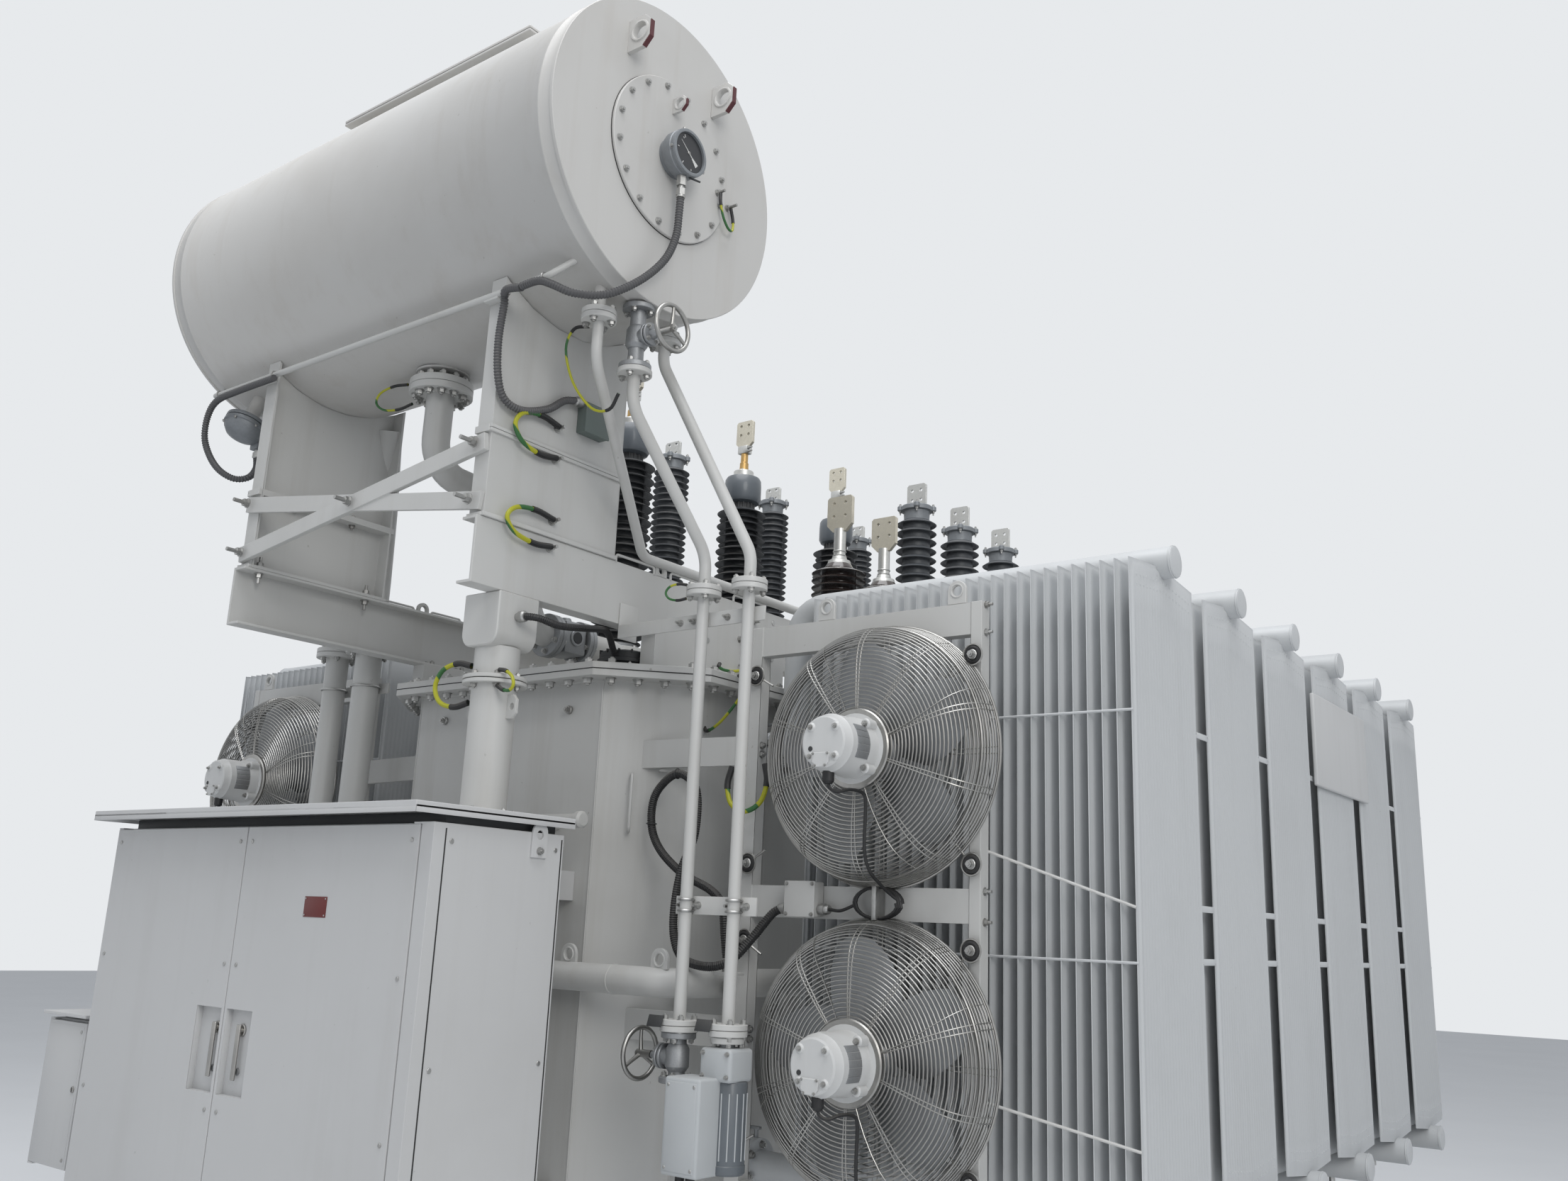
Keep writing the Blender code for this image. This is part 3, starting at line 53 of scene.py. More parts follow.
def plainMesh(name, verts, faces, edges=()):
  mesh = bpy.data.meshes.new(name)
  mesh.from_pydata([tuple(v) for v in verts], edges, faces)
  return mesh


class Sizes(dict):
  # a piece's dictionary, whose values can also be read as sizes.name
  __getattr__ = dict.__getitem__


def feed(tree, socket, value):
  # links another node's output, or sets a plain value
  value = value.socket if isinstance(value, Shade) else value
  if isinstance(value, bpy.types.NodeSocket):
    tree.links.new(value, socket)
  else:
    socket.default_value = value


# Shader maths: a socket that can be added to, multiplied and so on


class Shade:
  def __init__(self, tree, socket):
    self.tree = tree
    self.socket = socket

  def maths(self, operation, *others, clamp=False):
    node = self.tree.nodes.new("ShaderNodeMath")
    node.operation = operation
    node.use_clamp = clamp
    for place, value in enumerate((self, *others)):
      feed(self.tree, node.inputs[place], value)
    return Shade(self.tree, node.outputs[0])

  def __add__(self, other):
    return self.maths("ADD", other)

  def __sub__(self, other):
    return self.maths("SUBTRACT", other)

  def __rsub__(self, other):
    return self.maths("MULTIPLY", -1).maths("ADD", other)

  def __mul__(self, other):
    return self.maths("MULTIPLY", other)

  def __truediv__(self, other):
    return self.maths("DIVIDE", other)

  __radd__ = __add__
  __rmul__ = __mul__

  def clamped(self):
    return self.maths("ADD", 0, clamp=True)

  def above(self, limit, soft):
    return ((self - limit) / soft).clamped()


class Finish:
  # one material under construction, on Object coordinates
  def __init__(self, name):
    self.material = bpy.data.materials.new(name)
    self.material.use_nodes = True
    self.tree = self.material.node_tree
    self.shader = self.tree.nodes["Principled BSDF"]
    self.place = self.node("TexCoord").outputs["Object"]

  def node(self, kind, values=None, **settings):
    made = self.tree.nodes.new(f"ShaderNode{kind}")
    for key, value in settings.items():
      setattr(made, key, value)
    for key, value in (values or {}).items():
      feed(self.tree, made.inputs[key], value)
    return made

  def noise(self, scale, detail=4.0, stretch=(1, 1, 1), rough=0.55, shift=(0, 0, 0)):
    spread = self.node("Mapping", {"Vector": self.place, "Scale": stretch, "Location": shift})
    made = self.node("TexNoise", {"Vector": spread.outputs[0], "Scale": scale, "Detail": detail,
      "Roughness": rough})
    return Shade(self.tree, made.outputs[0])

  def axis(self, name):
    return Shade(self.tree, self.node("SeparateXYZ", {"Vector": self.place}).outputs[name])

  def facing(self, name):
    normal = self.node("NewGeometry").outputs["Normal"]
    return Shade(self.tree, self.node("SeparateXYZ", {"Vector": normal}).outputs[name])

  def mix(self, factor, first, second):
    values = {0: factor, 6: first, 7: second}
    for key in (6, 7):
      if isinstance(values[key], tuple):
        values[key] = (*values[key], 1)
    return self.node("Mix", values, data_type="RGBA").outputs[2]

  def set(self, **values):
    names = {"colour": "Base Color", "rough": "Roughness", "metal": "Metallic", "coat": "Coat Weight",
      "normal": "Normal"}
    for key, value in values.items():
      value = (*value, 1) if isinstance(value, tuple) else value
      feed(self.tree, self.shader.inputs[names[key]], value)
    return self

  def bump(self, height, strength, distance):
    made = self.node("Bump", {"Height": height, "Strength": strength, "Distance": distance})
    return self.set(normal=made.outputs[0])


def paintFinish(name, colour, dirt, rough=0.42, dirtAmount=0.5, peel=0.18):
  # enamel over steel: faint tone changes, rain streaks down the sides and dust on top
  made = Finish(name)
  tone = made.noise(1.7, 5.0)
  streak = made.noise(6.0, 5.0, stretch=(1.6, 1.6, 0.1), rough=0.62)
  speck = made.noise(38.0, 3.0)
  up = made.facing("Z").maths("MAXIMUM", 0.0)
  wash = (streak.above(0.52, 0.2) * 0.55 + tone.above(0.5, 0.25) * 0.45) * dirtAmount
  dust = up * tone.above(0.36, 0.3) * dirtAmount
  chips = speck.above(0.74, 0.03) * dirtAmount
  shade = made.mix(tone.above(0.3, 0.5) * 0.5, colour, tuple(c * 0.9 for c in colour))
  shade = made.mix((wash * 0.42 + dust * 0.4).clamped(), shade, dirt)
  shade = made.mix((chips * 0.55).clamped(), shade, tuple(c * 0.45 for c in dirt))
  made.set(colour=shade, rough=(wash * 0.25 + dust * 0.3 + rough).clamped())
  peelNoise = made.noise(210.0, 2.0)
  made.bump(peelNoise * 0.4 + tone * 0.6, peel, 0.0012)
  return made.material


def metalFinish(name, colour, rough, grain=60.0, metal=1.0, stain=(0.12, 0.1, 0.08), stainAmount=0.25):
  made = Finish(name)
  fine = made.noise(grain, 4.0)
  wide = made.noise(4.0, 5.0, shift=(3, 1, 7))
  mask = wide.above(0.5, 0.22) * stainAmount
  shade = made.mix(fine.above(0.35, 0.35) * 0.4, colour, tuple(c * 0.78 for c in colour))
  made.set(colour=made.mix(mask, shade, stain), rough=(fine * 0.16 + mask * 0.3 + (rough - 0.06)).clamped())
  made.set(metal=(mask * -0.5 + metal).clamped())
  made.bump(fine, 0.12, 0.0006)
  return made.material


def plasticFinish(name, colour, rough, grain=90.0, fade=0.15, coat=0.0):
  made = Finish(name)
  fine = made.noise(grain, 3.0)
  wide = made.noise(3.0, 4.0, shift=(5, 2, 0))
  dust = (made.facing("Z").maths("MAXIMUM", 0.0) * wide.above(0.38, 0.3)) * 0.35
  shade = made.mix(wide.above(0.4, 0.3) * fade, colour, tuple(min(1, c * 1.6 + 0.02) for c in colour))
  made.set(colour=made.mix(dust, shade, (0.3, 0.28, 0.25)),
    rough=(wide * 0.18 + dust * 0.3 + (rough - 0.08)).clamped())
  made.set(coat=coat)
  made.bump(fine, 0.15, 0.0008)
  return made.material


def bandFinish(name, first, second, pitch, share):
  # two-coloured insulation, its stripe winding slowly round
  made = Finish(name)
  across = made.axis("X") * 0.8 + made.axis("Y") * 0.8 + made.axis("Z")
  wave = (across * (tau / pitch)).maths("SINE")
  made.set(colour=made.mix(wave.above(share, 0.15), first, second), rough=0.45)
  made.bump(made.noise(160.0, 2.0), 0.1, 0.0006)
  return made.material


finishes = {
  "paint": paintFinish("transformerPaint", (0.565, 0.565, 0.55), (0.3, 0.27, 0.22), 0.42, 0.55),
  "tank": paintFinish("tankPaint", (0.55, 0.55, 0.535), (0.28, 0.25, 0.2), 0.46, 0.7),
  "conservator": paintFinish("conservatorPaint", (0.555, 0.548, 0.53), (0.36, 0.31, 0.25), 0.38, 0.6),
  "cabinet": paintFinish("cabinetPaint", (0.57, 0.572, 0.57), (0.36, 0.34, 0.31), 0.45, 0.35, 0.12),
  "radiator": paintFinish("radiatorPaint", (0.56, 0.575, 0.583), (0.36, 0.36, 0.35), 0.4, 0.4, 0.12),
  "motor": paintFinish("motorPaint", (0.6, 0.605, 0.6), (0.32, 0.29, 0.24), 0.36, 0.45),
  "steel": metalFinish("stainlessWire", (0.38, 0.375, 0.36), 0.34, 70.0, stainAmount=0.2),
  "zinc": metalFinish("zincedBolts", (0.46, 0.46, 0.45), 0.42, 120.0, stainAmount=0.45),
  "blade": metalFinish("fanBlade", (0.3, 0.31, 0.32), 0.4, 25.0, 0.6, stainAmount=0.2),
  "casting": metalFinish("valveCasting", (0.34, 0.35, 0.36), 0.52, 200.0, 0.75, stainAmount=0.35),
  "brass": metalFinish("brassNeck", (0.52, 0.34, 0.14), 0.38, 80.0, stainAmount=0.3),
  "alloy": metalFinish("alloyTerminal", (0.6, 0.6, 0.58), 0.36, 80.0, stainAmount=0.2),
  "tinned": metalFinish("tinnedTerminal", (0.66, 0.62, 0.52), 0.4, 60.0, 0.85, stainAmount=0.3),
  "rubber": plasticFinish("blackConduit", (0.012, 0.012, 0.013), 0.48, 200.0),
  "flex": plasticFinish("greyConduit", (0.085, 0.085, 0.088), 0.5, 200.0, 0.1),
  "gauge": metalFinish("gaugeBody", (0.24, 0.255, 0.27), 0.48, 90.0, 0.35, stainAmount=0.2),
  "shedDark": plasticFinish("shedCharcoal", (0.03, 0.033, 0.036), 0.42, 120.0, 0.3),
  "shedGrey": plasticFinish("shedGrey", (0.085, 0.092, 0.1), 0.48, 120.0, 0.3),
  "shedBrown": plasticFinish("shedBrown", (0.022, 0.013, 0.011), 0.2, 40.0, 0.2, 0.6),
  "cap": plasticFinish("capDark", (0.03, 0.032, 0.034), 0.55, 150.0),
  "capGrey": plasticFinish("capGrey", (0.105, 0.12, 0.135), 0.38, 60.0, 0.2, 0.2),
  "boxGrey": plasticFinish("boxGrey", (0.46, 0.48, 0.49), 0.46, 120.0, 0.1),
  "boxGreen": plasticFinish("junctionBox", (0.13, 0.16, 0.15), 0.48, 120.0, 0.1),
  "gasket": plasticFinish("gasketBlack", (0.018, 0.018, 0.018), 0.62, 200.0),
  "gaugeFace": plasticFinish("gaugeFace", (0.022, 0.023, 0.026), 0.45, 60.0, 0.1, 0.1),
  "gaugeMark": plasticFinish("gaugeMark", (0.62, 0.62, 0.6), 0.45, 60.0),
  "red": plasticFinish("redPlate", (0.13, 0.018, 0.016), 0.45, 60.0, 0.25),
  "redCap": plasticFinish("redCap", (0.52, 0.035, 0.025), 0.42, 60.0),
  "redTrim": plasticFinish("redOxide", (0.085, 0.02, 0.024), 0.55, 60.0),
  "earth": bandFinish("earthStrap", (0.42, 0.42, 0.02), (0.03, 0.13, 0.035), 0.16, 0.35),
  "handle": metalFinish("doorHandle", (0.42, 0.41, 0.39), 0.32, 90.0, stainAmount=0.2),
}
print("finishes ready:", len(finishes))


# Geometry Nodes: each tree repeats one thing, with its sizes as named inputs


class Growth:
  def __init__(self, name, **sizes):
    self.tree = bpy.data.node_groups.new(name, "GeometryNodeTree")
    face = self.tree.interface
    face.new_socket("Geometry", in_out="INPUT", socket_type="NodeSocketGeometry")
    kinds = {float: "NodeSocketFloat", int: "NodeSocketInt", tuple: "NodeSocketVector"}
    for label, value in sizes.items():
      socket = face.new_socket(label, in_out="INPUT", socket_type=kinds[type(value)])
      socket.default_value = value
    face.new_socket("Finish", in_out="INPUT", socket_type="NodeSocketMaterial")
    face.new_socket("Geometry", in_out="OUTPUT", socket_type="NodeSocketGeometry")
    self.start = self.tree.nodes.new("NodeGroupInput")
    self.end = self.tree.nodes.new("NodeGroupOutput")

  def size(self, label):
    return self.start.outputs[label]

  def add(self, kind, values=None, **settings):
    made = self.tree.nodes.new(kind if "Node" in kind else f"GeometryNode{kind}")
    for key, value in settings.items():
      setattr(made, key, value)
    for key, value in (values or {}).items():
      for each in value if isinstance(value, list) else [value]:
        each = each.outputs[0] if isinstance(each, bpy.types.Node) else each
        feed(self.tree, made.inputs[key], each)
    return made

  def sum(self, operation, first, second=0.0):
    return self.add("ShaderNodeMath", {0: first, 1: second}, operation=operation)

  def vector(self, x=0.0, y=0.0, z=0.0):
    return self.add("ShaderNodeCombineXYZ", {0: x, 1: y, 2: z})

  def close(self, geometry):
    real = self.add("RealizeInstances", {"Geometry": geometry})
    painted = self.add("SetMaterial", {"Geometry": real, "Material": self.size("Finish")})
    self.tree.links.new(painted.outputs[0], self.end.inputs[0])
    return self.tree


def makeBoltTree():
  grow = Growth("boltHeads", Across=0.024, Head=0.014, Washer=0.017, Thread=0.006)
  half = grow.sum("MULTIPLY", grow.size("Across"), 0.577)
  plate = grow.sum("MULTIPLY", grow.size("Head"), 0.22)
  head = grow.add("MeshCylinder", {"Vertices": 6, "Radius": half, "Depth": grow.size("Head")})
  lift = grow.sum("ADD", grow.sum("MULTIPLY", grow.size("Head"), 0.5), plate)
  head = grow.add("Transform", {"Geometry": head, "Translation": grow.vector(z=lift)})
  washer = grow.add("MeshCylinder", {"Vertices": 14, "Radius": grow.size("Washer"), "Depth": plate})
  low = grow.sum("MULTIPLY", plate, 0.5)
  washer = grow.add("Transform", {"Geometry": washer, "Translation": grow.vector(z=low)})
  long = grow.sum("ADD", grow.size("Head"), grow.size("Thread"))
  shank = grow.add("MeshCylinder", {"Vertices": 8, "Radius": grow.sum("MULTIPLY", half, 0.52), "Depth": long})
  rise = grow.sum("ADD", grow.sum("MULTIPLY", long, 0.5), plate)
  shank = grow.add("Transform", {"Geometry": shank, "Translation": grow.vector(z=rise)})
  bolt = grow.add("JoinGeometry", {0: [head, washer, shank]})
  facing = grow.add("InputNamedAttribute", {"Name": "facing"}, data_type="FLOAT_VECTOR")
  turn = grow.add("FunctionNodeAlignRotationToVector", {"Vector": facing}, axis="Z")
  return grow.close(
    grow.add("InstanceOnPoints", {"Points": grow.size("Geometry"), "Instance": bolt, "Rotation": turn}))


def makeStackTree():
  grow = Growth("stackInLine", Count=10, Step=(0.0, 0.0, 0.05), Shrink=0.0)
  line = grow.add("MeshLine", {"Count": grow.size("Count"), "Offset": grow.size("Step")})
  odd = grow.sum("MODULO", grow.add("InputIndex"), 2.0)
  thin = grow.sum("SUBTRACT", 1.0, grow.sum("MULTIPLY", odd, grow.size("Shrink")))
  scale = grow.vector(thin, thin, 1.0)
  return grow.close(
    grow.add("InstanceOnPoints", {"Points": line, "Instance": grow.size("Geometry"), "Scale": scale}))


def makeWheelTree():
  grow = Growth("copiesRoundAxis", Count=8, First=0.0)
  line = grow.add("MeshLine", {"Count": grow.size("Count"), "Offset": (0, 0, 0)})
  step = grow.sum("DIVIDE", tau, grow.size("Count"))
  angle = grow.sum("ADD", grow.sum("MULTIPLY", grow.add("InputIndex"), step), grow.size("First"))
  turn = grow.vector(z=angle)
  return grow.close(
    grow.add("InstanceOnPoints", {"Points": line, "Instance": grow.size("Geometry"), "Rotation": turn}))


def makeCageTree():
  # rings where the profile crosses each level, and pairs of ribs along the profile
  grow = Growth("wireCage", Rings=24, Ribs=8, Wire=0.0024, Spread=0.055)
  curve = grow.add("MeshToCurve", {"Mesh": grow.size("Geometry")})
  levels = grow.add("ResampleCurve", {"Curve": curve, "Count": grow.size("Rings")})
  spot = grow.add("ShaderNodeSeparateXYZ", {0: grow.add("InputPosition")})
  kept = grow.add("StoreNamedAttribute", {"Geometry": levels, "Name": "reach", "Value": spot.outputs[0]})
  axis = grow.add("SetPosition", {"Geometry": kept, "Position": grow.vector(z=spot.outputs[2])})
  reach = grow.add("InputNamedAttribute", {"Name": "reach"}, data_type="FLOAT")
  circle = grow.add("CurvePrimitiveCircle", {"Resolution": 64, "Radius": 1.0})
  rings = grow.add("InstanceOnPoints", {"Points": axis, "Instance": circle,
    "Scale": grow.vector(reach, reach, 1.0)})
  rings = grow.add("RealizeInstances", {"Geometry": rings})
  section = grow.add("CurvePrimitiveCircle", {"Resolution": 5, "Radius": grow.size("Wire")})
  rings = grow.add("CurveToMesh", {"Curve": rings, "Profile Curve": section})
  index = grow.add("InputIndex")
  pair = grow.sum("FLOOR", grow.sum("MULTIPLY", index, 0.5))
  side = grow.sum("SUBTRACT", grow.sum("MODULO", index, 2.0), 0.5)
  step = grow.sum("DIVIDE", tau, grow.size("Ribs"))
  angle = grow.sum("ADD", grow.sum("MULTIPLY", pair, step), grow.sum("MULTIPLY", side, grow.size("Spread")))
  points = grow.add("MeshLine", {"Count": grow.sum("MULTIPLY", grow.size("Ribs"), 2.0), "Offset": (0, 0, 0)})
  ribs = grow.add("InstanceOnPoints", {"Points": points, "Instance": curve, "Rotation": grow.vector(z=angle)})
  ribs = grow.add("RealizeInstances", {"Geometry": ribs})
  ribs = grow.add("CurveToMesh", {"Curve": ribs, "Profile Curve": section, "Fill Caps": True})
  return grow.close(grow.add("JoinGeometry", {0: [rings, ribs]}))


def makeRidgeTree():
  # a corrugated tube along a path
  grow = Growth("ridgedTube", Radius=0.016, Pitch=0.008, Ridge=0.1)
  curve = grow.add("MeshToCurve", {"Mesh": grow.size("Geometry")})
  half = grow.sum("MULTIPLY", grow.size("Pitch"), 0.5)
  even = grow.add("ResampleCurve", {"Curve": curve, "Length": half}, mode="LENGTH")
  odd = grow.sum("MODULO", grow.add("InputIndex"), 2.0)
  scale = grow.sum("SUBTRACT", 1.0, grow.sum("MULTIPLY", odd, grow.size("Ridge")))
  section = grow.add("CurvePrimitiveCircle", {"Resolution": 10, "Radius": grow.size("Radius")})
  values = {"Curve": even, "Profile Curve": section, "Scale": scale, "Fill Caps": True}
  return grow.close(grow.add("CurveToMesh", values))


trees = {
  "bolt": makeBoltTree(),
  "stack": makeStackTree(),
  "wheel": makeWheelTree(),
  "cage": makeCageTree(),
  "ridge": makeRidgeTree(),
}
print("growth trees ready")


def grown(tree, mesh, finish, **sizes):
  # the mesh after one tree, as a plain mesh
  holder = addObject("growing", mesh)
  modifier = holder.modifiers.new("grow", "NODES")
  modifier.node_group = trees[tree]
  values = {**sizes, "Finish": finishes[finish]}
  for item in trees[tree].interface.items_tree:
    if item.in_out == "INPUT" and item.name in values:
      modifier[item.identifier] = values[item.name]
  bpy.context.view_layer.update()
  graph = bpy.context.evaluated_depsgraph_get()
  made = bpy.data.meshes.new_from_object(holder.evaluated_get(graph))
  bpy.data.objects.remove(holder, do_unlink=True)
  return made


def upBy(height):
  return Vector((0, 0, height))


def pathMesh(points):
  return plainMesh("path", points, [], [(i, i + 1) for i in range(len(points) - 1)])


def ringPoints(centre, radius, count, axis, first=0.0):
  # points on a circle round an axis
  axis = Vector(axis).normalized()
  turn = axis.to_track_quat("Z", "Y").to_matrix()
  spots = []
  for i in range(count):
    angle = first + tau * i / count
    spots.append(Vector(centre) + turn @ Vector((cos(angle) * radius, sin(angle) * radius, 0)))
  return spots


def smoothPath(points, steps=8):
  # a smooth curve through the points
  points = [Vector(p) for p in points]
  ends = [points[0] * 2 - points[1], *points, points[-1] * 2 - points[-2]]
  path = []
  for a, b, c, d in zip(ends, ends[1:], ends[2:], ends[3:]):
    for i in range(steps):
      t = i / steps
      bend = (2 * a - 5 * b + 4 * c - d) * t**2
      path.append(0.5 * ((2 * b) + (c - a) * t + bend + (3 * b - a - 3 * c + d) * t**3))
  path.append(points[-1])
  return path


def roundedPath(points, radius, steps=8):
  # straight runs joined by arcs
  points = [Vector(p) for p in points]
  path = [points[0]]
  for before, corner, after in zip(points, points[1:], points[2:]):
    into = (corner - before).normalized()
    out = (after - corner).normalized()
    angle = into.angle(out)
    if angle < 0.02:
      path.append(corner)
      continue
    reach = radius * tan(angle / 2)
    centre = corner - into * reach + (out - into * into.dot(out)).normalized() * radius
    first = corner - into * reach - centre
    axis = into.cross(out).normalized()
    for i in range(steps + 1):
      path.append(centre + Matrix.Rotation(angle * i / steps, 3, axis) @ first)
  path.append(points[-1])
  return path


axisX, axisY, axisZ, faceFront, faceDown = (1, 0, 0), (0, 1, 0), (0, 0, 1), (0, -1, 0), (0, 0, -1)


class Build:
  # gathers the shapes of one piece, each with its finish, into one mesh
  def __init__(self, name, body="transformer", turn=None):
    self.name = name
    self.body = body
    self.turn = turn or Matrix.Identity(4)
    self.shape = bmesh.new()
    self.used = []

  def index(self, finish):
    if finish not in self.used:
      self.used.append(finish)
    return self.used.index(finish)

  def mesh(self, mesh, finish, place=None):
    if place is not None:
      mesh.transform(place)
      if place.determinant() < 0:
        mesh.flip_normals()
    mesh.polygons.foreach_set("material_index", [self.index(finish)] * len(mesh.polygons))
    self.shape.from_mesh(mesh)
    bpy.data.meshes.remove(mesh)

  def faces(self, verts, faces, finish, place=None):
    self.mesh(plainMesh("faces", verts, faces), finish, place)

  def block(self, low, high, finish, bevel=0.002, place=None, segments=2):
    shape = bmesh.new()
    bmesh.ops.create_cube(shape, size=1.0)
    low, high = Vector(low), Vector(high)
    shape.transform(Matrix.Translation((low + high) / 2) @ Matrix.Diagonal((*(high - low), 1.0)))
    bevel = min(bevel, min(high - low) * 0.45)
    if bevel > 0:
      bmesh.ops.bevel(shape, geom=shape.edges[:], offset=bevel, segments=segments, profile=0.5, affect="EDGES")
    mesh = bpy.data.meshes.new("block")
    shape.to_mesh(mesh)
    shape.free()
    self.mesh(mesh, finish, place)

  def lathe(self, profile, place, finish, axis=axisZ, sides=32, scale=None):
    # (radius, height) points from the top of the axis down the outside to the bottom
    verts, faces, rows = [], [], []
    for radius, height in profile:
      if radius < 1e-6:
        rows.append([len(verts)])
        verts.append((0, 0, height))
      else:
        rows.append(list(range(len(verts), len(verts) + sides)))
        for i in range(sides):
          angle = tau * i / sides
          verts.append((radius * cos(angle), radius * sin(angle), height))
    for above, below in zip(rows, rows[1:]):
      for i in range(sides):
        j = (i + 1) % sides
        corners = [above[i % len(above)], below[i % len(below)], below[j % len(below)], above[j % len(above)]]
        corners = list(dict.fromkeys(corners))
        if len(corners) > 2:
          faces.append(corners)
    turn = Vector(axis).to_track_quat("Z", "Y").to_matrix().to_4x4()
    self.faces(verts, faces, finish, Matrix.Translation(place) @ turn @ (scale or Matrix.Identity(4)))

  def disc(self, centre, axis, radius, thick, finish, bevel=0.002, sides=32):
    # a round plate whose middle is at centre
    h = thick / 2
    bevel = min(bevel, h * 0.8)
    profile = [(0, h), (radius - bevel, h), (radius, h - bevel), (radius, bevel - h), (radius - bevel, -h),
      (0, -h)]
    self.lathe(profile, centre, finish, axis, sides)

  def tube(self, path, radius, finish, sides=16, caps=True, closed=False):
    # a round bar along a path, its section carried without twist
    path = [Vector(p) for p in path]
    count = len(path)
    verts, faces = [], []
    heading = (path[1] - path[0]).normalized()
    side = heading.orthogonal().normalized()
    for i, point in enumerate(path):
      before = path[i - 1] if i or closed else path[0]
      after = path[(i + 1) % count] if i < count - 1 or closed else path[-1]
      new = (after - before).normalized()
      side = (side - new * side.dot(new)).normalized()
      other = new.cross(side)
      wide = radius[i] if isinstance(radius, (list, tuple)) else radius
      for j in range(sides):
        angle = tau * j / sides
        verts.append(point + side * cos(angle) * wide + other * sin(angle) * wide)
    for i in range(count if closed else count - 1):
      a, b = i * sides, ((i + 1) % count) * sides
      for j in range(sides):
        k = (j + 1) % sides
        faces.append((a + j, a + k, b + k, b + j))
    if caps and not closed:
      faces.append(tuple(reversed(range(sides))))
      faces.append(tuple(range((count - 1) * sides, count * sides)))
    self.faces(verts, faces, finish)

  def hoop(self, centre, axis, radius, wire, finish, steps=48, sides=10):
    self.tube(ringPoints(centre, radius, steps, axis), wire, finish, sides, closed=True)

  def plate(self, outline, plane, low, high, finish, holes=(), bevel=0.0015):
    # a flat outline with holes, between two places along its normal
    data = bpy.data.curves.new("outline", "CURVE")
    data.dimensions = "2D"
    data.fill_mode = "BOTH"
    data.extrude = (high - low) / 2
    for loop in (outline, *holes):
      spline = data.splines.new("POLY")
      spline.points.add(len(loop) - 1)
      for point, (u, v) in zip(spline.points, loop):
        point.co = (u, v, 0, 1)
      spline.use_cyclic_u = True
    holder = addObject("outline", data)
    bpy.context.view_layer.update()
    mesh = bpy.data.meshes.new_from_object(holder.evaluated_get(bpy.context.evaluated_depsgraph_get()))
    bpy.data.objects.remove(holder, do_unlink=True)
    shape = bmesh.new()
    shape.from_mesh(mesh)
    bmesh.ops.remove_doubles(shape, verts=shape.verts, dist=1e-6)
    bmesh.ops.dissolve_limit(shape, angle_limit=0.01, verts=shape.verts, edges=shape.edges)
    if bevel:
      sharp = [e for e in shape.edges if len(e.link_faces) == 2 and e.calc_face_angle() > 1.2]
      bmesh.ops.bevel(shape, geom=sharp, offset=bevel, segments=1, affect="EDGES", clamp_overlap=True)
    bmesh.ops.recalc_face_normals(shape, faces=shape.faces)
    shape.to_mesh(mesh)
    shape.free()
    turns = {
      "XY": Matrix.Identity(4),
      "YZ": Matrix(((0, 0, 1, 0), (1, 0, 0, 0), (0, 1, 0, 0), (0, 0, 0, 1))),
      "XZ": Matrix(((1, 0, 0, 0), (0, 0, -1, 0), (0, 1, 0, 0), (0, 0, 0, 1))),
    }
    middle = (low + high) / 2 * (-1 if plane == "XZ" else 1)
    self.mesh(mesh, finish, turns[plane] @ Matrix.Translation((0, 0, middle)))

  def bolts(self, spots, facing, across=0.024, finish="zinc", head=0.6, washer=0.75, thread=0.25):
    if not spots:
      return
    mesh = plainMesh("boltPlaces", spots, [])
    way = mesh.attributes.new("facing", "FLOAT_VECTOR", "POINT")
    ways = facing if isinstance(facing, list) else [facing] * len(spots)
    way.data.foreach_set("vector", [c for each in ways for c in each])
    sizes = {"Across": across, "Head": across * head, "Washer": across * washer, "Thread": across * thread}
    self.mesh(grown("bolt", mesh, finish, **sizes), finish)

  def flange(self, centre, axis, radius, thick, finish="paint", count=4, across=0.018, gap=0.0015, ring=0.76,
      first=0.4):
    # two bolted flanges face to face, with a dark gasket between and bolts through
    axis = Vector(axis).normalized()
    each = (thick - gap) / 2
    centre = Vector(centre)
    for side in (-1, 1):
      self.disc(centre + axis * side * (each + gap) / 2, axis, radius, each, finish, 0.0018)
    self.disc(centre, axis, radius * 0.9, gap * 1.2, "gasket", 0.0)
    for side in (-1, 1):
      spots = ringPoints(centre + axis * side * thick / 2, radius * ring, count, axis, first)
      self.bolts(spots, tuple(axis * side), across)

  def boltRing(self, centre, radius, count, axis, across, first=0.0, facing=None, **sizes):
    self.bolts(ringPoints(centre, radius, count, axis, first), facing or axis, across, **sizes)

  def gland(self, place, axis, finish, tall, tip, wide, neck=None, sides=12):
    # a domed nut that stands on a narrower thread where neck is given
    dome = [(0, tall), (tip, tall), (wide, 0.034 if neck else tall - 0.008), (wide, 0.014 if neck else 0)]
    thread = [(neck, 0.012), (neck, 0)] if neck else []
    self.lathe([*dome, *thread, (0, 0)], place, finish, axis, sides)

  def ridged(self, path, radius, finish, pitch=0.008, ridge=0.12):
    self.mesh(grown("ridge", pathMesh(path), finish, Radius=radius, Pitch=pitch, Ridge=ridge), finish)

